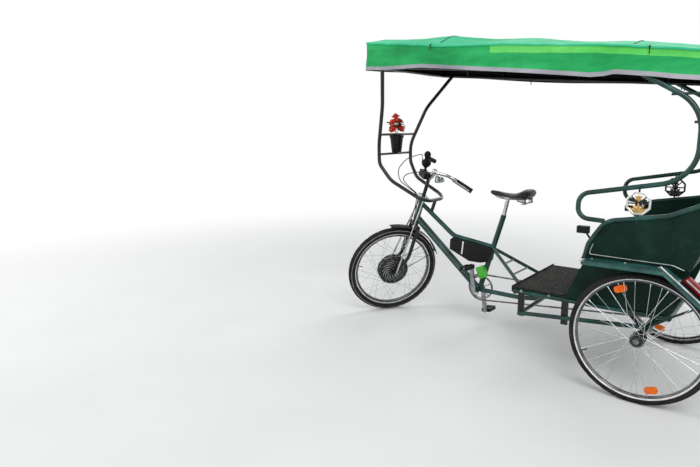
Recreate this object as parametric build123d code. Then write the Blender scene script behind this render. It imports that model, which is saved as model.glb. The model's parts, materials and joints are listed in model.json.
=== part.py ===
from build123d import *
import os
from math import cos, radians, sin, sqrt

# A three-wheeled cycle rickshaw: one steered wheel and a rider's saddle in front, a two-seat
# tub between two rear wheels, and a cloth roof over all of it.
# Millimetres, x forwards, y to the left, z up. Sizes are laid out with x counted from the
# rear axle and z from the ground, and each piece is then moved so that the origin lies on the
# ground under the middle of the whole vehicle.

# Wheels and steering
WHEELBASE = 1794
TRACK = 1000
REAR_TYRE_R = 330
REAR_TYRE_W = 44
FRONT_TYRE_R = 337
FRONT_TYRE_W = 54
# Each rim's radius at the tyre's edge, and its depth
FRONT_RIM = (290, 22)
REAR_RIM = (303, 17)
RIM_W = 28
SPOKES_PER_SIDE = 18
SPOKE_R = 1.3
SPOKE_LEAD = 58
REAR_HUB_R = 21
REAR_FLANGE_R = 34
REAR_HUB_HALF = 32
REAR_NUT_OUT = 58
AXLE_R = 9
SHAFT_END_Y = 60
FRONT_AXLE_R = 6
MOTOR_R = 112
MOTOR_HALF = 36
RAKE = 18
FORK_OFFSET = 73
STEER = 55
STEER_STOP = 60
RUN_CLEAR = 0.1
SPOKE_END_CLEAR = 0.5
REST_CLEAR = 0.3

# Fork, in its own straight-ahead frame: f forwards, y left, s up the steering axis
LEG_Y = 62
LEG_R = 13
TIP_HALF = 10
TIP_R = 17
CROWN_S = 374
CROWN_R = 15
CROWN_HALF = 70
HEAD_LOW_S = 390
HEAD_TOP_S = 578
STEERER_R = 13
HEAD_TUBE_R = 20
RACE_R = 22
TRUSS_R = 6
TRUSS_LOW_Y = 84
TRUSS_TOP_Y = 32
TRUSS_TOP_F = 4
CLAMP_S = 592
CLAMP_H = 18
BAR_S = 749
BAR_R = 11
# The left half of the handlebar, from the stem to the grip's end, and its bends' radii
HALF_BAR = [(0, 0, BAR_S), (4, 44, BAR_S), (22, 119, 809), (-21, 236, 828), (-161, 322, 779)]
HALF_BAR_BENDS = [40, 60, 60]
GRIP_R = 16
GRIP_LEN = 115
STEM_R = 20
STEM_LOW = 28
STEM_HIGH = 16
# Fittings on the bar: two corners, places and outlines of radius and height
BOX_CORNERS = ((12, -62, 726), (56, 34, 772))
BELL_AT = (12, 88, 801)
BELL_OUTLINE = [(0, -14), (7, -14), (7, 0), (22, 0), (23, 8), (19, 18), (10, 24), (0, 25)]
HEADLAMP_AT = (-50, 128, 768)
HEADLAMP_HANGER = ((-16, 128, 778), (18.7, 128, 810.5))
HEADLAMP_HANGER_R = 5
HEADLAMP_OUTLINE = [(0, 0), (16, 0), (25, 22), (27, 58), (0, 58)]
HORN_FOOT = (24, -44)
HORN_TIP = (32, -66, 900)
HORN_OUTLINE = [(9, -2), (9, 16), (28, 34), (33, 52), (26, 70), (16, 80), (20, 92), (24, 108), (18, 124),
                (6, 133)]
# Cables, in the fork's own frame: from each brake lever, round in front of the bar, down the head
CABLE_R = 3
LEFT_CABLE = [(-43, 266, 818), (-1, 243, 832), (130, 150, 812), (205, 62, 752), (196, 10, 692),
              (118, 12, 642), (48, 12, 604), (34, 12, 520), (32, 14, 430), (24, 22, 385), (8, 26, 368)]
LEFT_CABLE_BENDS = [105, 280, 90, 60, 300, 75, 300, 200, 35]
RIGHT_CABLE = [(-43, -266, 818), (-1, -243, 832), (140, -150, 806), (218, -64, 742), (206, -16, 676),
               (120, -16, 634), (48, -12, 600), (34, -12, 520), (32, -14, 400), (24, -46, 335),
               (21, -62, 270), (21, -62, 150), (18, -62, 96)]
RIGHT_CABLE_BENDS = [100, 290, 85, 65, 300, 70, 300, 145, 275, 255, 300]
GUARD_GAP = 8
GUARD_W = 64
GUARD_T = 3
GUARD_RISE = 8
GUARD_END = 150
GUARD_ARC = 78
GUARD_STAY_AT = 140
GUARD_STAY_Y = 76
GUARD_STAY_R = 2.5

# Rider's frame
BRACKET_X = 1097
BRACKET_Z = 278
BRACKET_R = 21
BRACKET_HALF = 34
SPINDLE_R = 8
TOP_TUBE_R = 16
DOWN_TUBE_R = 12.5
DOWN_TUBE_Y = 23
SEAT_TUBE_R = 17
SEAT_LUG = (989, 577)
SEAT_TUBE_TOP = (934, 0, 797)
CASE_HALF = 35
# The battery case's outline, from the lug back round under the top tube
CASE_OUTLINE = [(SEAT_LUG[0] + 10, SEAT_LUG[1] - 4), (1282, 616), (1301, 600), (1303, 533),
                (BRACKET_X + 57, 468), (BRACKET_X - 23, 468), (SEAT_LUG[0] + 26, 482)]
LOCK_SIZE = (58, 42, 80)
LOCK_AT = (BRACKET_X - 41, 36, 408)
SPINE_R = 15
SPINE_BEND_X = 810
TOP_TUBE_BEND = (1290, 622)
TUBE_END_IN = 4
SADDLE_Z = 962
SADDLE_T = 52
SADDLE_OUTLINE = [(1032, 14), (1032, -14), (950, -26), (880, -52), (820, -96), (765, -92), (752, -60),
                  (752, 60), (765, 92), (820, 96), (880, 52), (950, 26)]
STAY_R = 11
STAY_FOOT = (735, 170, 400)
CRANK_ARM = 170
CRANK_LEAN = 8
ARM_Y = 66
ARM_W = 27
ARM_T = 13
PEDAL_AXLE_R = 5
PEDAL_LEN = 96
PEDAL_W = 62
PEDAL_T = 24
PEDAL_Y = ARM_Y + ARM_T / 2 + PEDAL_LEN / 2 + 2
RING_R = 84
RING_Y = 46
RING_T = 4
CHAIN_GAP = 2
CHAIN_H = 9
CHAIN_W = 7
SPROCKET_R = 38

# Passenger floor and chassis
FLOOR_TOP = 428
FLOOR_T = 4
FLOOR_FRONT = 713
FLOOR_HALF = TRACK / 2 - 160
MAT_T = 6
RAIL_R = 15
LOWER_FRONT_X = 660
LOWER_RAIL_Z = 287
LOWER_RAIL_REAR_Z = 344
HANGER_X = (LOWER_FRONT_X, 410)
HANGER_SIZE = (36, 12)
HANGER_Y = FLOOR_HALF - 7
HANGER_LOW = 268
LOWER_RAIL_Y = FLOOR_HALF + 5
UNDER_STAY_Y = FLOOR_HALF - 90
UNDER_STAY_R = 12
LOWER_RAIL_R = 12
REAR_CROSS_X = -95
AXLE_TUBE_R = 20
AXLE_TUBE_HALF = TRACK / 2 - 75

# Tub
TUB_T = 8
TUB_LOW_Y = FLOOR_HALF + 10
TUB_Y = TRACK / 2 - 40
RISER_FOOT_X = 412
DECK_FRONT_X = 303
SEAT_FRONT_X = 286
DECK_Z = 693
DECK_T = 8
BACK_FOOT_X = -180
BACK_LEAN = 19
BACK_SIDE_H = 425
BACK_ARCH_H = 560
CUSHION_T = 72
BACK_PAD_T = 48
# The upper side's edge under the edge tube, from its front corner back to the tub's back
UPPER_SIDE_EDGE = [(281, 730), (262, 784), (222, 848), (190, 880), (150, 897), (-55, 931), (-85, 940),
                   (-180, 983), (-212, 1003), (-325, 1094)]

# Tubes along the tub's sides and up to the roof
TUBE_R = 12
POST_X = -345
POST_Y = TUB_Y - 8
FENDER_Y = TRACK / 2 + 62
FENDER_T = 3
FENDER_LIP = 14
FENDER_KNEE_X = -92
FENDER_END = (-285, 530)
FENDER_BEAD_R = 6
SIDE_BEAD_R = 3.5
# The piping bead on the tub's side: x and height over the deck, from its turned-up front end
SIDE_BEAD = [(SEAT_FRONT_X - 38, 76), (SEAT_FRONT_X - 20, 20), (-110, 14), (-160, -4)]
SIDE_BEAD_BENDS = [10, 40]
REAR_LAMP_ALONG = 140
REAR_LAMP_Y = TUB_Y + 35
REAR_LAMP_SIZE = (120, 52, 46)
STRUT_R = 6
LINK_R = 6
LINKS = [(-40, 1490), (-140, 1365)]
EMBLEM_AT = (57, TUB_Y, 986)
EMBLEM_R = 58
EMBLEM_RING_W = 11
EMBLEM_T = 8
EMBLEM_BAR_R = 3.5
EMBLEM_PEG = (880, 1075)
FRONT_LAMP_AT = (298, TUB_Y + 12, 838)
FRONT_LAMP_FOOT = (262, TUB_Y, 786)
FRONT_LAMP_SIZE = (56, 30, 36)

# Roof
ROOF_FRONT_X = 1700
ROOF_REAR_X = -500
HEM_FRONT_Z = 1728
HEM_REAR_Z = 1526
RAIL_UP = 14
ROOF_RAIL_R = 11
ROOF_Y = TUB_Y - 8
BOW_R = 8
CLOTH_T = 4
SHOULDER_UP = 128
ARCH_Y = ROOF_Y - 167
ARCH_UP = 196
ROOF_IN = 34
RIDGE_RISE = 14
# How far the roof's top has come down from its greatest height over the hem: x and fall
TOP_FALLS = [(ROOF_REAR_X, 64), (1180, 0), (ROOF_FRONT_X, 16)]

# Edge tube: up the front of the tub's side, along its top, and up as the rear post
EDGE_ROUTE = [(SEAT_FRONT_X + 2, TUB_Y, DECK_Z), (272, TUB_Y, 768), (198, TUB_Y, 889), (-75, TUB_Y, 935),
              (-195, TUB_Y, 990), (POST_X, POST_Y, 1110), (POST_X, POST_Y, 1546)]
EDGE_BENDS = [70, 100, 90, 150, 120]
# Roof curve, down and forwards into the armrest's loop, back onto the edge tube
CURVE_ROUTE = [(100, ROOF_Y, 1595), (-169, ROOF_Y, 1435), (-169, ROOF_Y, 1108),
               (335, ROOF_Y + 4, 1016), (335, TUB_Y, 895), (205, TUB_Y, 888)]
CURVE_BENDS = [200, 170, 58, 56]

# Front pillars: each row is x, y and z of one bend and the bend's radius
PILLAR_BENDS = [
    (1698, 278, 1500, 260),
    (1785, 200, 1240, 260),
    (1783, 197, 1110, 90),
    (1706, 166, 995, 130),
    (1443, 144, 860, 95),
]
PILLAR_TUBE_R = 12.5
CROSS_BAR_R = 8
PILLAR_TOP_X = 1578
LOOP_BACK_X, LOOP_BACK_Z = PILLAR_BENDS[-1][0], PILLAR_BENDS[-1][2]
# Cross bars between the pillars, upper then lower: x, half length, z
CROSS_BARS = [(1762, 228, 1312), (1786, 212, 1176)]
POT_FOOT_R = 34
POT_RIM_R = 52
# Blooms over the pot's rim: x, y, height and radius
BLOOMS = [(-10, -26, 62, 27), (6, 20, 58, 28), (12, -10, 98, 26), (-8, 18, 106, 25), (0, 0, 132, 24)]


def turned_away(x, z, angle):
    """Point x, z of a circle's angle, for wheels that lie in the x-z plane."""
    return (x * cos(radians(angle)), z * sin(radians(angle)))


# The steering axis passes the ground side of the wheel so that the leaned tyre just touches z 0
LEAN = sin(radians(RAKE)) * sin(radians(STEER))
FRONT_TYRE_HALF = FRONT_TYRE_W / 2
AXIS_X = WHEELBASE - FORK_OFFSET * cos(radians(RAKE))
AXIS_Z = ((FRONT_TYRE_R - FRONT_TYRE_HALF) * sqrt(1 - LEAN ** 2) + FRONT_TYRE_HALF
          - FORK_OFFSET * sin(radians(RAKE)) * cos(radians(STEER)))
AXIS_FOOT = Vector(AXIS_X, 0, AXIS_Z)
AXIS_UP = Vector(-sin(radians(RAKE)), 0, cos(radians(RAKE)))
AXIS_FORE = Vector(cos(radians(RAKE)), 0, sin(radians(RAKE)))
STEER_AXIS = Axis(AXIS_FOOT, AXIS_UP)


def fork_point(f, y, s):
    """Layout point of the straight-ahead fork's own coordinates."""
    return AXIS_FOOT + AXIS_FORE * f + Vector(0, 1, 0) * y + AXIS_UP * s


def steered(shape):
    """The shape as it stands with the fork turned to the left."""
    return shape.rotate(STEER_AXIS, STEER)


FRONT_AXLE = fork_point(FORK_OFFSET, 0, 0)
STEERED_CENTRE = Vertex(*FRONT_AXLE).rotate(STEER_AXIS, STEER).center()
WHEEL_FORE = cos(radians(RAKE)) * sin(radians(STEER))
FRONT_TIP = (STEERED_CENTRE.X + (FRONT_TYRE_R - FRONT_TYRE_HALF) * sqrt(1 - WHEEL_FORE ** 2)
             + FRONT_TYRE_HALF)
MIDDLE_X = (FRONT_TIP + ROOF_REAR_X) / 2

os.makedirs("parts", exist_ok=True)


def save(name, *shapes):
    """Write the shapes as one node, moved from the layout to the part's own origin."""
    placed = [Location((-MIDDLE_X, 0, 0)) * shape for shape in shapes]
    solids = [solid for shape in placed for solid in shape.solids()]
    export_step(Compound(children=solids) if len(solids) > 1 else solids[0], f"parts/{name}.step")


def both_sides(shape):
    return [shape, mirror(shape, about=Plane.XZ)]


def joined(pieces):
    """One solid from pieces that touch or overlap."""
    return pieces[0] + pieces[1:]


def coped(bar, *others):
    """The bar with its end cut to sit on the other pieces."""
    cut = bar
    for other in others:
        cut = cut - other
    return sorted(cut.solids(), key=lambda solid: solid.volume)[-1]


def tube(points, radius, bends=None):
    """A round bar along straight runs, with a tangent arc at each inner point."""
    points = [Vector(*point) for point in points]
    if len(points) == 2:
        route = Line(*points)
    else:
        route = FilletPolyline(*points, radius=bends)
    start = Plane(origin=route @ 0, z_dir=route % 0)
    return sweep(start * Circle(radius), path=route)


def rod(start, end, radius):
    """A straight round bar between two points."""
    start, end = Vector(*start), Vector(*end)
    run = end - start
    return Plane(origin=start, z_dir=run) * Cylinder(
        radius, run.length, align=(Align.CENTER, Align.CENTER, Align.MIN))


def cross_rod(x, z, y_from, y_to, radius):
    """A round bar that lies across the vehicle."""
    return rod((x, y_from, z), (x, y_to, z), radius)


def side_plate(outline, y_from, y_to):
    """A flat plate in the x-z plane, from y_from to y_to."""
    face = Plane.XZ * make_face(Polyline(*outline, close=True))
    plate = extrude(face, amount=y_to - y_from, dir=(0, 1, 0))
    return Location((0, y_from, 0)) * plate


def wheel_turned(outline):
    """Turn an outline of (radius, y) points about the y axis at the origin."""
    face = make_face(Polyline(*[(radius, y) for radius, y in outline], close=True))
    return revolve(face, axis=Axis.Y)


def tyre(outer, width, rim_r):
    """A round tyre with a flat seat on the rim."""
    half = width / 2
    section = Pos(outer - half, 0) * Circle(half)
    seat = Pos(rim_r - outer, 0) * Rectangle(2 * outer, 2 * width)
    return revolve(section - seat, axis=Axis.Y)


def rim(rim_r, depth):
    """A hollow-backed rim, open to the tyre."""
    half = RIM_W / 2
    low = rim_r - depth
    outline = [(rim_r, -half), (rim_r, half), (low + 8, half - 4), (low, half - 9),
               (low, 9 - half), (low + 8, 4 - half)]
    return wheel_turned(outline)


def spokes(hole_r, flange_y, rim_r, depth):
    """Crossed spokes from two flanges to the rim."""
    low = rim_r - depth - SPOKE_END_CLEAR
    made = []
    step = 360 / SPOKES_PER_SIDE
    for side in (-1, 1):
        for count in range(SPOKES_PER_SIDE):
            angle = step * (count + 0.25 * side)
            lead = SPOKE_LEAD if count % 2 else -SPOKE_LEAD
            hx, hz = turned_away(hole_r, hole_r, angle)
            rx, rz = turned_away(low, low, angle + lead)
            made.append(rod((hx, side * flange_y, hz), (rx, side * 4, rz), SPOKE_R))
    return made


def rear_hub():
    """Hub, flanges, spokes and outer nut of the left rear wheel."""
    half, flange, hub = REAR_HUB_HALF, REAR_FLANGE_R, REAR_HUB_R
    outline = [(0, -half - 4), (hub, -half - 4), (hub, -half), (flange, -half), (flange, -half + 5),
               (hub, -half + 10), (hub, half - 10), (flange, half - 5), (flange, half), (hub + 4, half),
               (hub + 4, half + 12), (AXLE_R + 4, half + 16), (AXLE_R + 4, REAR_NUT_OUT), (0, REAR_NUT_OUT)]
    return joined([wheel_turned(outline)] + spokes(flange - 4, half - 3, *REAR_RIM))


def rear_shaft():
    """The left rear wheel's drive shaft, from the hub to the axle drive."""
    return cross_rod(0, 0, SHAFT_END_Y - TRACK / 2, -REAR_HUB_HALF - 4 - REST_CLEAR, AXLE_R)


def front_hub():
    """Hub motor with its spokes and the bore for the fixed axle."""
    edge = MOTOR_HALF - 14
    bore = FRONT_AXLE_R + RUN_CLEAR
    outline = [(bore, -MOTOR_HALF - 8), (24, -MOTOR_HALF - 8), (28, -MOTOR_HALF),
               (70, -MOTOR_HALF + 2), (MOTOR_R - 10, -edge), (MOTOR_R, -edge),
               (MOTOR_R, edge), (MOTOR_R - 10, edge), (70, MOTOR_HALF - 2),
               (28, MOTOR_HALF), (24, MOTOR_HALF + 8), (bore, MOTOR_HALF + 8)]
    return joined([wheel_turned(outline)] + spokes(MOTOR_R - 4, edge - 3, *FRONT_RIM))


def build_rear_wheels():
    for side, name in ((1, "left"), (-1, "right")):
        place = Location((0, side * TRACK / 2, REAR_TYRE_R), (0, 0, 0 if side > 0 else 180))
        save(f"rear_tyre_{name}", place * tyre(REAR_TYRE_R, REAR_TYRE_W, REAR_RIM[0]))
        save(f"rear_rim_{name}", place * rim(*REAR_RIM))
        save(f"rear_hub_{name}", place * rear_hub(), place * rear_shaft())


def in_fork(shape):
    """A piece made about the y axis at the origin, moved to the steered front axle."""
    return steered(Location(FRONT_AXLE) * Rotation(0, RAKE * -1, 0) * shape)


def build_front_wheel():
    save("front_tyre", in_fork(tyre(FRONT_TYRE_R, FRONT_TYRE_W, FRONT_RIM[0])))
    save("front_rim", in_fork(rim(*FRONT_RIM)))
    save("front_hub_motor", in_fork(front_hub()))


def front_axle():
    """The fixed axle through the hub motor, in the straight-ahead fork."""
    end = TRUSS_LOW_Y + 14
    return rod(fork_point(FORK_OFFSET, -end, 0), fork_point(FORK_OFFSET, end, 0), FRONT_AXLE_R)


def fork_shape():
    """Legs, crown, steerer and axle, straight ahead."""
    leg = tube([fork_point(0, LEG_Y, CROWN_S), fork_point(4, LEG_Y, 130),
                fork_point(FORK_OFFSET, LEG_Y, 0)], LEG_R, 150)
    tip = rod(fork_point(FORK_OFFSET, LEG_Y - TIP_HALF, 0),
              fork_point(FORK_OFFSET, LEG_Y + TIP_HALF, 0), TIP_R)
    crown = rod(fork_point(0, -CROWN_HALF, CROWN_S - 4), fork_point(0, CROWN_HALF, CROWN_S - 4), CROWN_R)
    race = rod(fork_point(0, 0, CROWN_S - 10), fork_point(0, 0, HEAD_LOW_S - REST_CLEAR), RACE_R)
    steerer = rod(fork_point(0, 0, CROWN_S), fork_point(0, 0, BAR_S), STEERER_R)
    axle = front_axle()
    return joined(both_sides(leg) + both_sides(tip) + [crown, race, steerer, axle])


def build_fork():
    save("fork", steered(fork_shape()))
    plate = Plane(origin=fork_point(TRUSS_TOP_F / 2, 0, CLAMP_S), x_dir=AXIS_FORE, z_dir=AXIS_UP)
    clamp = plate * Box(TRUSS_TOP_F + 44, 2 * TRUSS_TOP_Y + 24, CLAMP_H)
    clamp = clamp - rod(fork_point(0, 0, BAR_S), fork_point(0, 0, CROWN_S), STEERER_R)
    truss = tube([fork_point(FORK_OFFSET, TRUSS_LOW_Y, -4), fork_point(FORK_OFFSET - 4, TRUSS_LOW_Y, 60),
                  fork_point(TRUSS_TOP_F, TRUSS_TOP_Y, CLAMP_S)], TRUSS_R, 120)
    eye = rod(fork_point(FORK_OFFSET, TRUSS_LOW_Y - 5, 0), fork_point(FORK_OFFSET, TRUSS_LOW_Y + 5, 0), 12)
    rods = joined([clamp] + both_sides(truss) + both_sides(eye)) - front_axle()
    save("truss_rods", steered(rods))


def build_mudguard():
    """A band over the front tyre, from ahead of its top to behind its hub."""
    inner = FRONT_TYRE_R + GUARD_GAP
    crown_r = inner + GUARD_RISE
    half = GUARD_W / 2
    outline = [(inner, half), (inner + 4, half), (crown_r, half - 16), (crown_r, 16 - half),
               (inner + 4, -half), (inner, -half), (inner, GUARD_T - half),
               (crown_r - GUARD_T, 17 - half), (crown_r - GUARD_T, half - 17), (inner, half - GUARD_T)]
    band = revolve(make_face(Polyline(*outline, close=True)), axis=Axis.Y, revolution_arc=GUARD_ARC)
    band = Rotation(0, -GUARD_END, 0) * band
    reach = inner + GUARD_STAY_R
    at = radians(GUARD_STAY_AT)
    stays = []
    for side in (1, -1):
        foot = Vector(0, side * GUARD_STAY_Y, 0)
        knee = Vector(0.9 * reach * cos(at), side * GUARD_STAY_Y, 0.9 * reach * sin(at))
        toe = Vector(reach * cos(at), side * (half - 1), reach * sin(at))
        stays.append(tube([foot, knee, toe], GUARD_STAY_R, 12))
    guard = in_fork(joined([band] + stays))
    lug = steered(rod(fork_point(0, 0, CROWN_S - CROWN_R), fork_point(10, 0, CROWN_S - 34), 7))
    save("front_mudguard", joined([guard, lug]) - steered(fork_shape()))


def build_handlebar():
    route = [fork_point(*point) for point in HALF_BAR]
    bar = joined(both_sides(tube(route, BAR_R, HALF_BAR_BENDS)))
    stem = rod(fork_point(0, 0, BAR_S - STEM_LOW), fork_point(0, 0, BAR_S + STEM_HIGH), STEM_R)
    steerer = rod(fork_point(0, 0, BAR_S), fork_point(0, 0, CROWN_S), STEERER_R)
    save("handlebar", steered(joined([bar, stem]) - steerer))

    grip_end = Vector(*route[4])
    along = (Vector(*route[3]) - grip_end).normalized()
    grip = rod(grip_end - along * 6, grip_end + along * GRIP_LEN, GRIP_R)
    core = rod(grip_end, grip_end + along * (GRIP_LEN + 30), BAR_R)
    save("grips", *[steered(shape) for shape in both_sides(grip - core)])

    lever_root = grip_end + along * (GRIP_LEN + 12)
    out = (AXIS_FORE * 0.4 + Vector(0, 0.9, 0)).normalized()
    lever = tube([lever_root, lever_root + out * 32, lever_root + out * 42 - along * 110], 5, 12)
    clamp = rod(lever_root - along * 9, lever_root + along * 9, BAR_R + 5)
    levers = both_sides(joined([clamp, lever]) - core)
    save("brake_levers", *[steered(shape) for shape in levers])

    build_cables(levers)
    build_bar_fittings(joined([bar, stem]))


def turned_on(place, direction, outline):
    """A turned shape at a place of the straight-ahead fork, from an outline of radius and height."""
    face = Plane.XZ * make_face(Polyline(*outline, close=True))
    return Plane(origin=fork_point(*place), z_dir=direction) * revolve(face, axis=Axis.Z)


def build_cables(levers):
    """Both brake cables, ending at the fork's crown and at its right leg."""
    fork = fork_shape()
    left = tube([fork_point(*point) for point in LEFT_CABLE], CABLE_R, LEFT_CABLE_BENDS)
    right = tube([fork_point(*point) for point in RIGHT_CABLE], CABLE_R, RIGHT_CABLE_BENDS)
    save("cables", *[steered(coped(cable, fork, *levers)) for cable in (left, right)])


def build_bar_fittings(bar):
    """Control box in front of the stem, bell and headlamp on the left of the bar, horn on the box."""
    low, high = BOX_CORNERS
    middle = [(a + b) / 2 for a, b in zip(low, high)]
    plane = Plane(origin=fork_point(*middle), x_dir=AXIS_FORE, z_dir=AXIS_UP)
    box = plane * Box(*[b - a for a, b in zip(low, high)])
    save("control_box", steered(coped(box, bar)))
    held = tube([fork_point(*point) for point in HALF_BAR], BAR_R + REST_CLEAR, HALF_BAR_BENDS)
    save("bell", steered(coped(turned_on(BELL_AT, AXIS_UP, BELL_OUTLINE), held)))
    hanger = rod(*[fork_point(*end) for end in HEADLAMP_HANGER], HEADLAMP_HANGER_R)
    lamp = joined([turned_on(HEADLAMP_AT, AXIS_FORE, HEADLAMP_OUTLINE), hanger])
    save("headlamp", steered(coped(lamp, held)))
    foot = fork_point(HORN_FOOT[0], HORN_FOOT[1], high[2])
    back = Polyline(HORN_OUTLINE[-1], (0, HORN_OUTLINE[-1][1]), (0, 0), HORN_OUTLINE[0])
    bulbs = revolve(Plane.XZ * make_face(Spline(*HORN_OUTLINE) + back), axis=Axis.Z)
    horn = Plane(origin=foot, z_dir=fork_point(*HORN_TIP) - foot) * bulbs
    save("horn", steered(coped(horn, box)))


def seat_tube():
    return rod((BRACKET_X - 10, 0, BRACKET_Z), SEAT_TUBE_TOP, SEAT_TUBE_R)


def build_frame():
    bracket = cross_rod(BRACKET_X, BRACKET_Z, -BRACKET_HALF, BRACKET_HALF, BRACKET_R)
    head = rod(fork_point(0, 0, HEAD_LOW_S), fork_point(0, 0, HEAD_TOP_S), HEAD_TUBE_R)
    top_start = fork_point(0, 0, HEAD_TOP_S - 35)
    low_start = fork_point(0, 0, HEAD_LOW_S + 35)
    top = tube([top_start, (TOP_TUBE_BEND[0], 0, TOP_TUBE_BEND[1]), (SEAT_LUG[0], 0, SEAT_LUG[1])],
               TOP_TUBE_R, 110)
    down = rod((low_start.X - 8, DOWN_TUBE_Y, low_start.Z),
               (BRACKET_X + 6, DOWN_TUBE_Y, BRACKET_Z + 6), DOWN_TUBE_R)
    upright = seat_tube()
    frame = joined([bracket, head, top, upright] + both_sides(down))
    frame = frame - cross_rod(BRACKET_X, BRACKET_Z, -60, 60, SPINDLE_R + RUN_CLEAR)
    frame = frame - rod(fork_point(0, 0, HEAD_LOW_S - 20), fork_point(0, 0, HEAD_TOP_S + 20),
                        STEERER_R + RUN_CLEAR)
    save("main_frame", frame)

    case = side_plate(CASE_OUTLINE, -CASE_HALF, CASE_HALF)
    tubes = joined([upright, top] + both_sides(down))
    save("battery_case", coped(case, tubes))

    lock = Pos(*LOCK_AT) * Rotation(0, 25, 0) * Box(*LOCK_SIZE)
    save("lock_body", coped(fillet(lock.edges(), 8), upright))

    lug = Vector(SEAT_LUG[0] + 4, 0, SEAT_LUG[1] - 10)
    stays = []
    for side in (1, -1):
        foot = Vector(STAY_FOOT[0], side * STAY_FOOT[1], STAY_FOOT[2])
        stays.append(rod(lug + Vector(0, side * 8, 0), foot, STAY_R))
    for share in (0.42, 0.72):
        across = lug + (Vector(*STAY_FOOT) - lug) * share
        stays.append(cross_rod(across.X, across.Z, -across.Y, across.Y, 6))
    save("seat_stays", joined(stays) - upright - top)

    post_top = Vector(SEAT_TUBE_TOP[0] - 24, 0, SADDLE_Z - SADDLE_T)
    post = rod(Vector(*SEAT_TUBE_TOP), post_top, 13)
    clamp = cross_rod(post_top.X, post_top.Z, -22, 22, 15)
    save("seat_post", joined([post, clamp]) - upright)
    outline = make_face(Polyline(*SADDLE_OUTLINE, close=True))
    seat = extrude(Plane(origin=(0, 0, SADDLE_Z - SADDLE_T)) * outline, SADDLE_T)
    save("saddle", seat - clamp)


def build_crank():
    """Chainring, spindle, both arms and the two pedals; left arm up."""
    centre = Location((BRACKET_X, 0, BRACKET_Z)) * Rotation(0, CRANK_LEAN, 0)
    spindle = cross_rod(0, 0, -ARM_Y - ARM_T / 2, ARM_Y + ARM_T / 2, SPINDLE_R)
    ring_outline = [(SPINDLE_R - 1, -RING_Y - RING_T / 2), (26, -RING_Y - RING_T / 2),
                    (26, -RING_Y + RING_T / 2), (SPINDLE_R - 1, -RING_Y + RING_T / 2)]
    boss = wheel_turned(ring_outline)
    rim_outline = [(RING_R - 12, -RING_Y - RING_T / 2), (RING_R, -RING_Y - RING_T / 2),
                   (RING_R, -RING_Y + RING_T / 2), (RING_R - 12, -RING_Y + RING_T / 2)]
    spider = [wheel_turned(rim_outline), boss]
    for count in range(5):
        x, z = turned_away(RING_R - 6, RING_R - 6, 90 + 72 * count)
        spider.append(rod((0, -RING_Y, 0), (x, -RING_Y, z), RING_T / 2 + 1))
    arms = []
    for side in (1, -1):
        slot = Rotation(0, 0, 90) * SlotCenterToCenter(CRANK_ARM, ARM_W)
        arm = extrude(Plane.XZ * Pos(0, side * CRANK_ARM / 2) * slot, amount=ARM_T, dir=(0, 1, 0))
        arms.append(Location((0, side * ARM_Y - ARM_T / 2, 0)) * arm)
        arms.append(cross_rod(0, side * CRANK_ARM, side * ARM_Y, side * (ARM_Y + ARM_T / 2 + PEDAL_LEN + 2),
                              PEDAL_AXLE_R))
    save("crank", centre * joined([spindle] + spider + arms))
    for side, name in ((1, "left"), (-1, "right")):
        body = Box(PEDAL_W, PEDAL_LEN - 6, PEDAL_T) - Box(PEDAL_W - 20, PEDAL_LEN - 30, PEDAL_T + 2)
        sleeve = cross_rod(0, 0, -PEDAL_LEN / 2 + 3, PEDAL_LEN / 2 - 3, PEDAL_AXLE_R + 4)
        bore = cross_rod(0, 0, -PEDAL_LEN, PEDAL_LEN, PEDAL_AXLE_R + RUN_CLEAR)
        place = centre * Location((0, side * PEDAL_Y, side * CRANK_ARM))
        save(f"pedal_{name}", place * (joined([body, sleeve]) - bore))


def chain_outline(ring_r, sprocket_r):
    """The closed belt round two circles, the ring's in front, in the x-z plane."""
    rounds = [Pos(BRACKET_X, BRACKET_Z) * Circle(ring_r), Pos(0, REAR_TYRE_R) * Circle(sprocket_r)]
    edges = rounds[0].edges() + rounds[1].edges()
    return Plane(origin=(0, 0, 0), x_dir=(1, 0, 0), z_dir=(0, -1, 0)) * make_hull(edges)


def build_drive():
    """The chain round the chainring and the axle's sprocket, and the drive's housing on the axle."""
    outer = chain_outline(RING_R + CHAIN_GAP + CHAIN_H, SPROCKET_R + REST_CLEAR + CHAIN_H)
    inner = chain_outline(RING_R + CHAIN_GAP, SPROCKET_R + REST_CLEAR)
    belt = extrude(outer, amount=CHAIN_W, dir=(0, 1, 0)) - extrude(inner, amount=CHAIN_W, dir=(0, 1, 0))
    save("chain", Location((0, -RING_Y - CHAIN_W / 2, 0)) * belt)
    axle = cross_rod(0, REAR_TYRE_R, -200, 200, AXLE_TUBE_R)
    outline = [(0, -RING_Y - 2), (SPROCKET_R, -RING_Y - 2), (SPROCKET_R, -RING_Y + 2), (32, -RING_Y + 6),
               (32, 60), (26, 74), (0, 74)]
    drum = Location((0, 0, REAR_TYRE_R)) * wheel_turned(outline)
    save("axle_drive", drum - axle)


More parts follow.
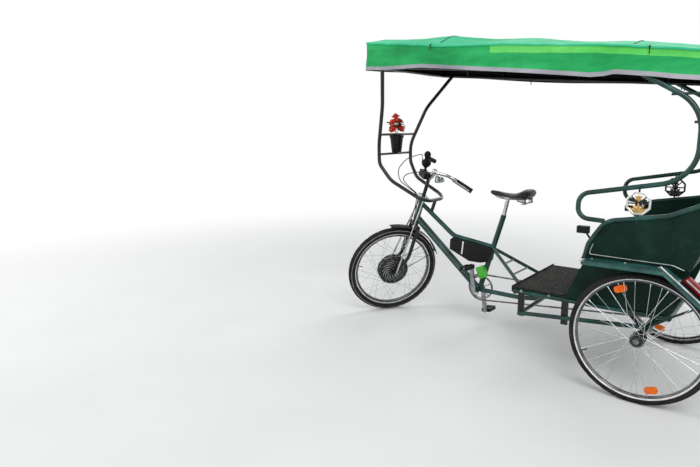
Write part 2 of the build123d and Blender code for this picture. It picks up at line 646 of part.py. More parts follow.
def build_chassis():
    """Floor rails, lower rails, spine, hangers and the axle tube."""
    rail_z = FLOOR_TOP - FLOOR_T - RAIL_R
    axle_z = REAR_TYRE_R
    rail = rod((FLOOR_FRONT - RAIL_R, FLOOR_HALF - RAIL_R, rail_z),
               (REAR_CROSS_X, FLOOR_HALF - RAIL_R, rail_z), RAIL_R)
    front_cross = cross_rod(FLOOR_FRONT - RAIL_R, rail_z, -FLOOR_HALF, FLOOR_HALF, RAIL_R)
    rear_cross = cross_rod(REAR_CROSS_X, rail_z, -FLOOR_HALF, FLOOR_HALF, RAIL_R)
    rails = joined(both_sides(rail) + [front_cross, rear_cross])
    save("floor_rails", rails)

    lower = rod((LOWER_FRONT_X, LOWER_RAIL_Y, LOWER_RAIL_Z), (0, LOWER_RAIL_Y, LOWER_RAIL_REAR_Z),
                LOWER_RAIL_R)
    cross_end = LOWER_RAIL_Y + LOWER_RAIL_R
    cross = cross_rod(LOWER_FRONT_X, LOWER_RAIL_Z, -cross_end, cross_end, LOWER_RAIL_R)
    spine = tube([(BRACKET_X - BRACKET_R + TUBE_END_IN, 0, BRACKET_Z - 4), (SPINE_BEND_X, 0, BRACKET_Z - 8),
                  (LOWER_FRONT_X, 0, LOWER_RAIL_Z)], SPINE_R, 200)
    axle = cross_rod(0, axle_z, -AXLE_TUBE_HALF, AXLE_TUBE_HALF, AXLE_TUBE_R)
    under = rod((REAR_CROSS_X, UNDER_STAY_Y, rail_z - RAIL_R + 2), (0, UNDER_STAY_Y, axle_z), UNDER_STAY_R)
    pieces = both_sides(lower) + [cross, spine, axle] + both_sides(under)
    bracket = cross_rod(BRACKET_X, BRACKET_Z, -BRACKET_HALF, BRACKET_HALF, BRACKET_R)
    chassis = joined(pieces) - bracket - seat_tube()
    bore = cross_rod(0, axle_z, -AXLE_TUBE_HALF - 1, AXLE_TUBE_HALF + 1, AXLE_R + RUN_CLEAR)
    low_chassis = chassis - rails - bore
    save("lower_chassis", low_chassis)
    hangers = []
    for x in HANGER_X:
        plate = Pos(x, HANGER_Y, (HANGER_LOW + rail_z) / 2) * Box(*HANGER_SIZE, rail_z - HANGER_LOW)
        hangers += both_sides(coped(plate, low_chassis, rails))
    save("hangers", *hangers)

    plate = Pos((FLOOR_FRONT + REAR_CROSS_X) / 2, 0, FLOOR_TOP - FLOOR_T / 2) * Box(
        FLOOR_FRONT - REAR_CROSS_X, 2 * FLOOR_HALF, FLOOR_T)
    save("floor_plate", plate)
    mat = Pos((RISER_FOOT_X + 10 + FLOOR_FRONT) / 2, 0, FLOOR_TOP + MAT_T / 2) * Box(
        FLOOR_FRONT - RISER_FOOT_X - 10, 2 * FLOOR_HALF - 20, MAT_T)
    lip = Pos(FLOOR_FRONT + 3, 0, FLOOR_TOP - 4) * Box(6, 2 * FLOOR_HALF, 34)
    save("floor_mat", joined([mat, lip]))


def seat_deck():
    return Pos((DECK_FRONT_X + BACK_FOOT_X) / 2, 0, DECK_Z - DECK_T / 2) * Box(
        DECK_FRONT_X - BACK_FOOT_X, 2 * TUB_Y, DECK_T)


def build_tub():
    """Riser, lower sides, seat deck, upper sides and the arched back."""
    deck_low = DECK_Z - DECK_T
    riser_low, riser_high = (RISER_FOOT_X, FLOOR_TOP), (DECK_FRONT_X, deck_low)
    riser = side_plate([riser_low, riser_high, (riser_high[0] - TUB_T, riser_high[1]),
                        (riser_low[0] - TUB_T, riser_low[1])], -TUB_LOW_Y, TUB_LOW_Y)
    save("tub_riser", riser)
    low_side = side_plate([(RISER_FOOT_X - TUB_T, FLOOR_TOP), (DECK_FRONT_X - TUB_T, deck_low),
                           (BACK_FOOT_X, deck_low), (REAR_CROSS_X, FLOOR_TOP)],
                          TUB_LOW_Y - TUB_T, TUB_LOW_Y)
    save("tub_lower_sides", *both_sides(low_side))
    save("seat_deck", seat_deck())

    edge = tube(EDGE_ROUTE, TUBE_R, EDGE_BENDS)
    corner = (BACK_FOOT_X, DECK_Z)
    lean = radians(BACK_LEAN)
    upper = side_plate([(SEAT_FRONT_X, DECK_Z)] + UPPER_SIDE_EDGE + [(corner[0] - TUB_T, DECK_Z)],
                       TUB_Y - TUB_T, TUB_Y)
    save("tub_upper_sides", *[coped(shape, tubing) for shape, tubing in
                              zip(both_sides(upper), both_sides(edge))])

    plane = Plane(origin=(corner[0], 0, corner[1]), x_dir=(0, -1, 0), z_dir=(-cos(lean), 0, -sin(lean)))
    side = BACK_SIDE_H - 40
    half = TUB_Y - TUB_T
    with_arch = make_face(Polyline((-half, 0), (half, 0), (half, side)) +
                          ThreePointArc((half, side), (0, BACK_ARCH_H), (-half, side)) +
                          Line((-half, side), (-half, 0)))
    back = extrude(plane * with_arch, TUB_T)
    save("tub_back", coped(back, *both_sides(edge)))

    cushion = Pos((SEAT_FRONT_X + BACK_FOOT_X + 60) / 2, 0, DECK_Z + REST_CLEAR + CUSHION_T / 2) * Box(
        SEAT_FRONT_X - BACK_FOOT_X - 30, 2 * (TUB_Y - TUB_T) - 20, CUSHION_T)
    cushion = fillet(cushion.edges().filter_by(Axis.Z), 40)
    save("seat_cushion", cushion)
    inner = half - 12
    pad_side = side - 25
    low = CUSHION_T + 6
    pad_face = make_face(Polyline((-inner, low), (inner, low), (inner, pad_side)) +
                         ThreePointArc((inner, pad_side), (0, BACK_ARCH_H - 22), (-inner, pad_side)) +
                         Line((-inner, pad_side), (-inner, low)))
    pad_plane = Plane(origin=plane.origin - plane.z_dir * REST_CLEAR, x_dir=plane.x_dir, z_dir=plane.z_dir)
    pad = extrude(pad_plane * pad_face, -BACK_PAD_T)
    save("back_pad", pad)


def octagon(radius, thickness):
    """An upright octagonal plate at the side emblem's place."""
    x, y, z = EMBLEM_AT
    corners = [turned_away(radius, radius, angle) for angle in range(22, 382, 45)]
    return side_plate([(x + dx, z + dz) for dx, dz in corners], y - thickness / 2, y + thickness / 2)


def build_side_tubes():
    """Edge tubes that run on as rear posts, and the roof curves that run on as armrests."""
    edge = tube(EDGE_ROUTE, TUBE_R, EDGE_BENDS)
    rails = roof_rails()
    post = coped(edge, rails, seat_deck())
    curve = tube(CURVE_ROUTE, TUBE_R, CURVE_BENDS)
    links = [rod((x, ROOF_Y, z), (POST_X, POST_Y, z), LINK_R) for x, z in LINKS]
    arm = coped(joined([curve] + links), edge, rails)
    for side, name in ((1, "left"), (-1, "right")):
        save(f"edge_tube_{name}", post if side > 0 else mirror(post, about=Plane.XZ))
        save(f"armrest_curve_{name}", arm if side > 0 else mirror(arm, about=Plane.XZ))

    x, y, z = EMBLEM_AT
    ring = octagon(EMBLEM_R, EMBLEM_T) - octagon(EMBLEM_R - EMBLEM_RING_W, EMBLEM_T + 4)
    peg = rod((x, y, EMBLEM_PEG[0]), (x, y, EMBLEM_PEG[1]), EMBLEM_BAR_R)
    reach = EMBLEM_R - EMBLEM_RING_W
    ends = [turned_away(reach, reach, angle) for angle in (0, 45, 135)]
    bars = [rod((x - dx, y, z - dz), (x + dx, y, z + dz), EMBLEM_BAR_R) for dx, dz in ends]
    disc = Location(EMBLEM_AT) * wheel_turned([(0, -4), (16, -4), (16, 4), (0, 4)])
    emblem = coped(joined([ring, peg, disc] + bars), edge, curve)
    save("side_emblems", *both_sides(emblem))


def build_fenders():
    """Shelves over the rear wheels, their struts and the lamps on their slopes."""
    front = SEAT_FRONT_X - 12
    upper = [(front, DECK_Z), (FENDER_KNEE_X, DECK_Z), FENDER_END]
    lower = [(FENDER_END[0] + 2, FENDER_END[1] - FENDER_T), (FENDER_KNEE_X + 2, DECK_Z - FENDER_T),
             (front, DECK_Z - FENDER_T)]
    lip = [(x, z - FENDER_LIP) for x, z in lower]
    shelf = joined([side_plate(upper + lower, TUB_Y, FENDER_Y),
                    side_plate(upper + lip, FENDER_Y - FENDER_T, FENDER_Y)])
    save("fenders", *both_sides(shelf))
    rail_z = FLOOR_TOP - FLOOR_T - RAIL_R
    strut = rod((FENDER_END[0] + 24, TUB_Y + 8, FENDER_END[1] + 14),
                (REAR_CROSS_X, FLOOR_HALF - 6, rail_z), STRUT_R)
    cross = cross_rod(REAR_CROSS_X, rail_z, -FLOOR_HALF, FLOOR_HALF, RAIL_R)
    save("fender_struts", *both_sides(coped(strut, shelf, cross)))
    slope = Vector(FENDER_END[0] - FENDER_KNEE_X, 0, FENDER_END[1] - DECK_Z).normalized()
    up = Vector(slope.Z, 0, -slope.X)
    seat = Vector(FENDER_KNEE_X, REAR_LAMP_Y, DECK_Z) + slope * REAR_LAMP_ALONG
    lamp_plane = Plane(origin=seat + up * REST_CLEAR, x_dir=slope, z_dir=up)
    lamp = lamp_plane * Box(*REAR_LAMP_SIZE, align=(Align.CENTER, Align.CENTER, Align.MIN))
    save("rear_lamps", *both_sides(lamp))
    over = up * (FENDER_BEAD_R + REST_CLEAR)
    bead = rod(Vector(FENDER_KNEE_X, FENDER_Y - FENDER_BEAD_R, DECK_Z) - slope * 26 + over,
               Vector(FENDER_END[0], FENDER_Y - FENDER_BEAD_R, FENDER_END[1]) + over, FENDER_BEAD_R)
    side = tube([(x, TUB_Y + SIDE_BEAD_R, DECK_Z + up) for x, up in SIDE_BEAD], SIDE_BEAD_R, SIDE_BEAD_BENDS)
    save("trim_beads", *both_sides(bead), *both_sides(side))
    arm = rod(FRONT_LAMP_FOOT, (FRONT_LAMP_AT[0] - 10, FRONT_LAMP_AT[1], FRONT_LAMP_AT[2] - 8), 5)
    body = Location(FRONT_LAMP_AT) * Box(*FRONT_LAMP_SIZE)
    edge = tube(EDGE_ROUTE, TUBE_R, EDGE_BENDS)
    save("front_lamps", *both_sides(coped(joined([arm, body]), edge)))


def hem_z(x):
    """Height of the roof cloth's lower edge."""
    return HEM_REAR_Z + (x - ROOF_REAR_X) * (HEM_FRONT_Z - HEM_REAR_Z) / (ROOF_FRONT_X - ROOF_REAR_X)


def roof_rails():
    """The roof's rectangle of tubes, just above the cloth's lower edge."""
    front, rear = ROOF_FRONT_X - ROOF_IN, ROOF_REAR_X + ROOF_IN
    side = rod((front, ROOF_Y, hem_z(front) + RAIL_UP), (rear, ROOF_Y, hem_z(rear) + RAIL_UP), ROOF_RAIL_R)
    ends = [cross_rod(x, hem_z(x) + RAIL_UP, -ROOF_Y, ROOF_Y, ROOF_RAIL_R) for x in (front, rear)]
    return joined(both_sides(side) + ends)


def top_base(x):
    """The line that the heights of the roof's top are counted from, at or below the hem's line."""
    rear, middle, front = TOP_FALLS
    (x_0, fall_0), (x_1, fall_1) = (rear, middle) if x < middle[0] else (middle, front)
    return hem_z(x) - fall_0 - (x - x_0) * (fall_1 - fall_0) / (x_1 - x_0)


def roof_section(grow):
    """The cloth's cross-section as y and height over the base line, grown outwards from the bows."""
    y = ROOF_Y + grow
    half = [(y, -40), (y, SHOULDER_UP + grow * 0.6), (ARCH_Y + grow * 0.4, ARCH_UP + grow)]
    return half + [(0, ARCH_UP + grow + RIDGE_RISE)] + [(-side, up) for side, up in reversed(half)]


def roof_form(grow, inset):
    """A solid of the roof's section along its top's two slopes, that far inside the roof's ends."""
    stations = [ROOF_REAR_X + inset, TOP_FALLS[1][0], ROOF_FRONT_X - inset]
    parts = []
    for start, end in zip(stations, stations[1:]):
        run = Vector(end - start, 0, top_base(end) - top_base(start))
        plane = Plane(origin=(start, 0, top_base(start)), x_dir=(0, 1, 0), z_dir=(1, 0, 0))
        face = plane * make_face(Polyline(*roof_section(grow), close=True))
        parts.append(extrude(face, amount=run.length, dir=run))
    return joined(parts)


def build_roof():
    rails = roof_rails()
    save("roof_rails", rails)
    bows = []
    for x in (ROOF_FRONT_X - ROOF_IN, 1180, 660, 140, ROOF_REAR_X + ROOF_IN):
        top = top_base(x)
        half = [(x, ROOF_Y, hem_z(x) + RAIL_UP), (x, ROOF_Y, top + SHOULDER_UP), (x, ARCH_Y, top + ARCH_UP)]
        bow = tube(half + [(x, -y, z) for x, y, z in reversed(half)], BOW_R, [30, 120, 120, 30])
        bows.append(coped(bow, rails))
    save("roof_bows", *bows)
    gap = TUBE_R + REST_CLEAR
    low_z = HEM_REAR_Z - 200
    below = side_plate([(ROOF_REAR_X, HEM_REAR_Z), (ROOF_FRONT_X, HEM_FRONT_Z), (ROOF_FRONT_X, low_z),
                        (ROOF_REAR_X, low_z)], -TRACK, TRACK)
    save("roof_cover", roof_form(gap + CLOTH_T, 0) - roof_form(gap, CLOTH_T) - below)


def build_pillars():
    """The tube that loops behind the head tube and rises to the roof on both sides, and its bars."""
    points = [(PILLAR_TOP_X, ROOF_Y - 8, hem_z(PILLAR_TOP_X) + RAIL_UP)] + [row[:3] for row in PILLAR_BENDS]
    mirrored = [(x, -y, z) for x, y, z in reversed(points)]
    bends = [row[3] for row in PILLAR_BENDS]
    whole = tube(points + mirrored, PILLAR_TUBE_R, bends + bends[::-1])
    head = rod(fork_point(0, 0, HEAD_LOW_S), fork_point(0, 0, HEAD_TOP_S), HEAD_TUBE_R)
    top_tube = rod(fork_point(0, 0, HEAD_TOP_S - 35), (TOP_TUBE_BEND[0], 0, TOP_TUBE_BEND[1]), TOP_TUBE_R)
    bridge = rod((LOOP_BACK_X, 0, LOOP_BACK_Z), (LOOP_BACK_X + 32, 0, LOOP_BACK_Z - 90), 12)
    save("front_pillars", coped(joined([coped(whole, roof_rails()), bridge]), head, top_tube))
    bars = []
    for x, half, z in CROSS_BARS:
        bars.append(coped(cross_rod(x, z, -half, half, CROSS_BAR_R), whole))
    save("cross_bars", *bars)
    low_bar, high_bar = CROSS_BARS[1], CROSS_BARS[0]
    foot = low_bar[2] + CROSS_BAR_R + REST_CLEAR
    top = high_bar[2] - CROSS_BAR_R - REST_CLEAR
    x = (low_bar[0] + high_bar[0]) / 2
    standing = (Align.CENTER, Align.CENTER, Align.MIN)
    pot = Location((x, 0, foot)) * Cone(POT_FOOT_R, POT_RIM_R, top - foot, align=standing)
    save("flower_pot", pot)
    blooms = [Pos(x + dx, dy, top + dz) * Sphere(r) for dx, dy, dz, r in BLOOMS]
    mound = Location((x, 0, top + REST_CLEAR)) * Cone(POT_RIM_R - 6, 30, 60, align=standing)
    space = cross_rod(high_bar[0], high_bar[2], -120, 120, CROSS_BAR_R + REST_CLEAR)
    save("flowers", coped(joined([mound] + blooms), space))


if __name__ == "__main__":
    build_rear_wheels()
    build_front_wheel()
    build_fork()
    build_mudguard()
    build_handlebar()
    build_frame()
    build_crank()
    build_drive()
    build_chassis()
    build_tub()
    build_side_tubes()
    build_fenders()
    build_roof()
    build_pillars()
    print("front tip", FRONT_TIP, "middle", MIDDLE_X)
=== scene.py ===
import json
import random
from math import atan2, copysign, cos, degrees, exp, hypot, pi, radians, sin, sqrt, tau

import bpy
from mathutils import Matrix, Vector, noise

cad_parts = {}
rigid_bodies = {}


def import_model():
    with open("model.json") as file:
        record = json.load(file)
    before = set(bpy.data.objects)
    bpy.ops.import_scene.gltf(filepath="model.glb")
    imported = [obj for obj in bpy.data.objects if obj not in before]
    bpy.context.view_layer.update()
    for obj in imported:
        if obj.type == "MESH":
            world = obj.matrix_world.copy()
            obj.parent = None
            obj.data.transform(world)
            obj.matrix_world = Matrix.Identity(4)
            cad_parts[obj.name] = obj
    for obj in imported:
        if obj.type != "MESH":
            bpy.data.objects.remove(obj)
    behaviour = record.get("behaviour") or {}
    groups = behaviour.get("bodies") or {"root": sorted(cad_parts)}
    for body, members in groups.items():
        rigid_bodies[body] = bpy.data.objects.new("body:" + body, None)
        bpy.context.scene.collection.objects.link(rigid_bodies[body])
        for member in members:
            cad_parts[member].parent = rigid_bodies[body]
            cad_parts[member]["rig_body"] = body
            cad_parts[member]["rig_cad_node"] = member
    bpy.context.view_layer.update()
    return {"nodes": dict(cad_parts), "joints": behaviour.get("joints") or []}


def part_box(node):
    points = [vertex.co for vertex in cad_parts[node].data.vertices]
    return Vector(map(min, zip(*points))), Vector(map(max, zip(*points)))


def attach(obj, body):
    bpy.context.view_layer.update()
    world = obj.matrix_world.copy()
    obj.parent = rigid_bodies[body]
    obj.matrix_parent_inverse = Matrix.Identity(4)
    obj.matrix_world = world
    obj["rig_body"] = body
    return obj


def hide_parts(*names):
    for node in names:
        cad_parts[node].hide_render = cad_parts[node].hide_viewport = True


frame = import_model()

# The looks of a three-wheeled cycle rickshaw. Lengths are in metres, x forwards, y to the left and
# z up, with the origin on the ground below the middle of the vehicle. Places written for spot()
# count x from the rear axle, and places written for the fork are forwards, left and up its axis.

random.seed(11)
noise.seed_set(5)

JOINTS = {joint["name"]: joint for joint in frame["joints"]}
REAR_AXLE_X = JOINTS["rear_wheel_left_spin"]["pos_m"][0]
FORK_OFFSET = 0.073
REST = Matrix()
SIDES = {"left": 1, "right": -1}


def spot(x, y, z):
    """A place whose x is counted from the rear axle."""
    return Vector((x + REAR_AXLE_X, y, z))


def axes(place, x_axis, y_axis, z_axis):
    """The matrix that stands a piece at a place, on these three directions."""
    turn = Matrix((x_axis, y_axis, z_axis)).transposed().to_4x4()
    return Matrix.Translation(place) @ turn


def facing(place, direction):
    """The matrix that stands a piece made along z at a place, along a direction."""
    up = Vector(direction).normalized()
    side = Vector((0, 0, 1)).cross(up)
    if side.length < 1e-4:
        side = Vector((1, 0, 0)).cross(up)
    side.normalize()
    return axes(place, side, up.cross(side), up)


def shifted(x, y, z):
    """The matrix that moves a piece this far."""
    return Matrix.Translation((x, y, z))


def spun(angle, axis="Z"):
    """The matrix that turns a piece about one axis."""
    return Matrix.Rotation(angle, 4, axis)


def wheel_place(joint_name, outwards=1):
    """Where a wheel made round z goes, with z out along its axle."""
    joint = JOINTS[joint_name]
    return facing(joint["pos_m"], Vector(joint["axis"]) * outwards)


def fork_place():
    """The fork's own frame: forwards, left and up the steering axis from the foot of the axis."""
    up = Vector(JOINTS["steering"]["axis"])
    left = Vector(JOINTS["front_wheel_spin"]["axis"])
    fore = left.cross(up)
    return axes(Vector(JOINTS["front_wheel_spin"]["pos_m"]) - fore * FORK_OFFSET, fore, left, up)


FORK = fork_place()
FRONT_WHEEL = wheel_place("front_wheel_spin")
REAR_WHEELS = {side: wheel_place(f"rear_wheel_{side}_spin", sign) for side, sign in SIDES.items()}


# ---- working on a mesh, as by hand ----

def alone(piece):
    """Leave one piece selected and active."""
    bpy.ops.object.select_all(action="DESELECT")
    piece.select_set(True)
    bpy.context.view_layer.objects.active = piece


def added(name, primitive, **sizes):
    """A new primitive under its own name."""
    bpy.ops.object.select_all(action="DESELECT")
    primitive(**sizes)
    piece = bpy.context.object
    piece.name = piece.data.name = name
    return piece


def grid(name, across, along):
    """A flat grid that reaches from -1 to 1 both ways."""
    return added(name, bpy.ops.mesh.primitive_grid_add, x_subdivisions=across, y_subdivisions=along, size=2)


def settled(piece, place=REST):
    """Move a piece to its place and put that place in its mesh."""
    bpy.context.view_layer.update()
    piece.matrix_world = place @ piece.matrix_world
    alone(piece)
    bpy.ops.object.transform_apply(location=True, rotation=True, scale=True)
    return piece


def worked(piece, kind, **settings):
    """Apply one modifier to a piece."""
    alone(piece)
    step = piece.modifiers.new(kind.title(), kind)
    for setting, value in settings.items():
        setattr(step, setting, value)
    bpy.ops.object.modifier_apply(modifier=step.name)
    return piece


def edited(piece, chosen=None, mode="FACE"):
    """Open a piece for editing, with all of it or the chosen faces selected."""
    alone(piece)
    bpy.ops.object.mode_set(mode="EDIT")
    bpy.ops.mesh.select_mode(type=mode)
    bpy.ops.mesh.select_all(action="DESELECT" if chosen else "SELECT")
    if chosen:
        bpy.ops.object.mode_set(mode="OBJECT")
        for face in piece.data.polygons:
            face.select = bool(chosen(face))
        bpy.ops.object.mode_set(mode="EDIT")


def closed(piece):
    """Close a piece that was open for editing."""
    bpy.ops.object.mode_set(mode="OBJECT")
    return piece


def reshaped(piece, operation, chosen=None, **settings):
    """Run one mesh operation on the chosen faces of a piece, or on all of it."""
    edited(piece, chosen)
    operation(**settings)
    return closed(piece)


def block(name, size, place=REST, bevel=0.0, segments=2):
    """A box of this size with rounded edges."""
    piece = added(name, bpy.ops.mesh.primitive_cube_add, size=1)
    piece.scale = size
    settled(piece)
    if bevel:
        reshaped(piece, bpy.ops.mesh.bevel, offset=bevel, segments=segments, affect="EDGES")
    return settled(piece, place)


def turned(name, outline, place=REST, steps=48):
    """A turned piece: a vertex extruded along an outline of radius and height, then spun round z."""
    piece = added(name, bpy.ops.mesh.primitive_plane_add, size=0.001)
    edited(piece, mode="VERT")
    bpy.ops.mesh.merge(type="CENTER")
    bpy.ops.transform.translate(value=(outline[0][0], 0, outline[0][1]))
    for (r0, z0), (r1, z1) in zip(outline, outline[1:]):
        bpy.ops.mesh.extrude_region_move(TRANSFORM_OT_translate={"value": (r1 - r0, 0, z1 - z0)})
    bpy.ops.mesh.select_all(action="SELECT")
    bpy.ops.mesh.spin(steps=steps, angle=tau, center=(0, 0, 0), axis=(0, 0, 1))
    bpy.ops.mesh.select_all(action="SELECT")
    bpy.ops.mesh.remove_doubles(threshold=1e-5)
    bpy.ops.mesh.normals_make_consistent(inside=False)
    return settled(closed(piece), place)


def rod(name, start, end, radius, sides=8, bevel=0.0):
    """A straight round rod between two places."""
    start, end = Vector(start), Vector(end)
    piece = added(name, bpy.ops.mesh.primitive_cylinder_add, vertices=sides, radius=radius,
                  depth=(end - start).length)
    if bevel:
        reshaped(piece, bpy.ops.mesh.bevel, lambda face: len(face.vertices) > 4, offset=bevel, segments=2,
                 affect="EDGES")
    return settled(piece, facing((start + end) / 2, end - start))


def bent(name, points, radius, sides=2, steps=8):
    """A round rod along one smooth line that the points steer."""
    piece = added(name, bpy.ops.curve.primitive_nurbs_path_add)
    piece.data.splines.clear()
    spline = piece.data.splines.new("NURBS")
    spline.points.add(len(points) - 1)
    for point, where in zip(spline.points, points):
        point.co = (*where, 1)
    spline.order_u = 3
    spline.use_endpoint_u = True
    spline.resolution_u = steps
    piece.data.dimensions = "3D"
    piece.data.bevel_depth = radius
    piece.data.bevel_resolution = sides
    piece.data.use_fill_caps = True
    alone(piece)
    bpy.ops.object.convert(target="MESH")
    return settled(bpy.context.object)


def united(name, pieces):
    """Several pieces as one, under a new name."""
    bpy.ops.object.select_all(action="DESELECT")
    for piece in pieces:
        piece.select_set(True)
    bpy.context.view_layer.objects.active = pieces[0]
    if len(pieces) > 1:
        bpy.ops.object.join()
    piece = bpy.context.object
    piece.name = piece.data.name = name
    return piece


def repeated(name, model, places):
    """One piece of many copies of a model, each set at its own place."""
    copies = []
    for place in places:
        copy = model.copy()
        copy.data = model.data.copy()
        bpy.context.collection.objects.link(copy)
        copy.matrix_world = place
        copies.append(settled(copy))
    bpy.data.objects.remove(model)
    return united(name, copies)


def round_about(count):
    """Places evenly round z, each turned by its share of the circle."""
    return [spun(tau * step / count) for step in range(count)]


def fitted(piece, body, finishes, replaces=None, edge=35, coloured=None):
    """Give a finished piece its finishes, the body that it rides on and the CAD node that it replaces."""
    finishes = [finishes] if isinstance(finishes, str) else finishes
    while len(piece.data.materials) < len(finishes):
        piece.data.materials.append(None)
    for index, name in enumerate(finishes):
        piece.data.materials[index] = FINISH[name]
    if coloured:
        for face in piece.data.polygons:
            face.material_index = int(coloured(face))
    alone(piece)
    bpy.ops.object.shade_smooth_by_angle(angle=radians(edge))
    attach(piece, body)
    if replaces:
        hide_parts(replaces)
    return piece


# ---- finishes ----

def tint(red, green, blue):
    """A colour of a paint chart, 0 to 255, as the shader reads it."""
    return tuple(((c / 255 + 0.055) / 1.055) ** 2.4 if c > 10 else c / 255 / 12.92
                 for c in (red, green, blue))


def noded(tree, kind, inputs, **settings):
    """A new shader node, with its settings made and its inputs typed in or linked."""
    made = tree.nodes.new("ShaderNode" + kind)
    for setting, value in settings.items():
        setattr(made, setting, value)
    for socket, value in inputs.items():
        if isinstance(value, bpy.types.NodeSocket):
            tree.links.new(value, made.inputs[socket])
        else:
            made.inputs[socket].default_value = value
    return made


class Finish:
    """A material that is built up node by node on the piece's own coordinates."""

    def __init__(self, name, **sockets):
        self.material = bpy.data.materials.new(name)
        self.material.use_nodes = True
        self.tree = self.material.node_tree
        self.shader = self.tree.nodes["Principled BSDF"]
        self.place = self.tree.nodes.new("ShaderNodeTexCoord").outputs["Object"]
        for socket, value in sockets.items():
            self.shader.inputs[socket.replace("_", " ")].default_value = value

    def node(self, kind, inputs, **settings):
        """A new node in this material."""
        return noded(self.tree, kind, inputs, **settings)

    def to(self, socket, output):
        """Link an output to an input of the shader."""
        self.tree.links.new(output, self.shader.inputs[socket])

    def grain(self, scale, detail=3.0, stretch=None):
        """Fine noise, drawn out along an axis where stretch says so."""
        place = self.place
        if stretch:
            place = self.node("Mapping", {"Vector": place, "Scale": stretch}).outputs["Vector"]
        return self.node("TexNoise", {"Vector": place, "Scale": scale, "Detail": detail,
                                      "Roughness": 0.55}).outputs["Fac"]

    def ramp(self, factor, stops):
        """Colours along a factor, each stop with its place and colour."""
        made = self.node("ValToRGB", {"Fac": factor})
        elements = made.color_ramp.elements
        elements[0].position, elements[0].color = stops[0][0], (*stops[0][1], 1)
        elements[1].position, elements[1].color = stops[-1][0], (*stops[-1][1], 1)
        for position, colour in stops[1:-1]:
            elements.new(position).color = (*colour, 1)
        return made.outputs["Color"]

    def tones(self, factor, places, *colours):
        """A ramp through colours of the paint chart."""
        return self.ramp(factor, [(place, tint(*colour)) for place, colour in zip(places, colours)])

    def span(self, factor, low, high, start=0.3, end=0.7):
        """A factor's range from start to end, as values from low to high."""
        return self.node("MapRange", {"Value": factor, "From Min": start, "From Max": end,
                                      "To Min": low, "To Max": high}).outputs["Result"]

    def mixed(self, factor, first, second):
        """A mix of two colours, each an output or three numbers."""
        first, second = (colour if isinstance(colour, bpy.types.NodeSocket) else (*colour, 1)
                         for colour in (first, second))
        return self.node("Mix", {"Factor": factor, 6: first, 7: second}, data_type="RGBA").outputs[2]

    def relief(self, height, strength, distance=0.001, under=None):
        """A bump by a height, over the bump under it."""
        inputs = {"Height": height, "Strength": strength, "Distance": distance}
        if under:
            inputs["Normal"] = under
        return self.node("Bump", inputs).outputs["Normal"]


def enamel(name, dark, middle, light, gloss=(0.22, 0.42), coat=0.25, shine=0.3):
    """Stove enamel: depth of colour, patches of dust, orange peel and a clear coat."""
    made = Finish(name, Coat_Weight=coat, Coat_Roughness=0.12, Specular_IOR_Level=shine)
    body = made.tones(made.grain(9, 4), (0.3, 0.52, 0.72), dark, middle, light)
    dust = made.ramp(made.grain(55, 6), [(0.62, (0, 0, 0)), (0.8, (1, 1, 1))])
    made.to("Base Color", made.mixed(made.span(dust, 0, 0.16, 0, 1), body, tint(112, 120, 110)))
    made.to("Roughness", made.span(made.grain(38), *gloss))
    peel = made.relief(made.grain(420, 2), 0.12, 0.0006)
    made.to("Normal", made.relief(made.grain(26, 2), 0.1, 0.002, peel))
    return made.material


def plated(name, colour, shade, gloss=(0.07, 0.2), brushed=None):
    """Plated or polished metal with faint smears, and brushed lines where they run along an axis."""
    made = Finish(name, Metallic=1.0)
    made.to("Base Color", made.ramp(made.grain(24, 5), [(0.35, shade), (0.6, colour)]))
    made.to("Roughness", made.span(made.grain(60, 4), *gloss))
    lines = made.grain(300, 2, brushed) if brushed else made.grain(500, 2)
    made.to("Normal", made.relief(lines, 0.08, 0.0005))
    return made.material


def moulded(name, dark, light, gloss=(0.35, 0.6), pebble=(700, 0.25)):
    """Moulded plastic or rubber with a fine pebbled skin, a little dust and rubbed places."""
    made = Finish(name, Specular_IOR_Level=0.2)
    made.to("Base Color", made.tones(made.grain(18, 6), (0.32, 0.7), dark, light))
    made.to("Roughness", made.span(made.grain(45, 4), *gloss))
    skin = made.node("TexVoronoi", {"Vector": made.place, "Scale": pebble[0]}).outputs["Distance"]
    made.to("Normal", made.relief(skin, pebble[1], 0.0006))
    return made.material


def leathercloth(name, dark, middle, light):
    """Coated upholstery cloth: small leather grain, soft wrinkles, and paler where it is rubbed."""
    made = Finish(name, Sheen_Weight=0.04, Coat_Weight=0.05, Coat_Roughness=0.3, Specular_IOR_Level=0.3)
    made.to("Base Color", made.tones(made.grain(7, 5), (0.3, 0.5, 0.72), dark, middle, light))
    made.to("Roughness", made.span(made.grain(30, 4), 0.36, 0.55))
    cells = made.node("TexVoronoi", {"Vector": made.place, "Scale": 420},
                      feature="DISTANCE_TO_EDGE").outputs["Distance"]
    grainy = made.relief(made.span(cells, 0, 1, 0, 0.12), 0.3, 0.0007)
    made.to("Normal", made.relief(made.grain(16, 3), 0.35, 0.004, grainy))
    return made.material


def woven(name, dark, middle, light, soil):
    """Coated awning cloth: a fine weave, faded along its highs and soiled in streaks."""
    made = Finish(name, Sheen_Weight=0.03, Coat_Weight=0.03, Coat_Roughness=0.4, Specular_IOR_Level=0.15)
    body = made.tones(made.grain(6, 7, (0.5, 1, 1.6)), (0.3, 0.5, 0.7), dark, middle, light)
    streaks = made.grain(9, 5, (1, 1, 0.3))
    made.to("Base Color", made.mixed(made.span(streaks, 0, 0.35, 0.55, 0.85), body, tint(*soil)))
    made.to("Roughness", made.span(made.grain(25), 0.55, 0.72))
    along, down = (made.node("TexWave", {"Vector": made.place, "Scale": 210, "Distortion": 0.6},
                             bands_direction=way).outputs["Fac"] for way in "XZ")
    weave = made.node("Math", {0: along, 1: down}, operation="MULTIPLY")
    creased = made.relief(made.grain(11, 5, (0.5, 1, 1.4)), 0.7, 0.012)
    made.to("Normal", made.relief(weave.outputs["Value"], 0.12, 0.0006, creased))
    return made.material


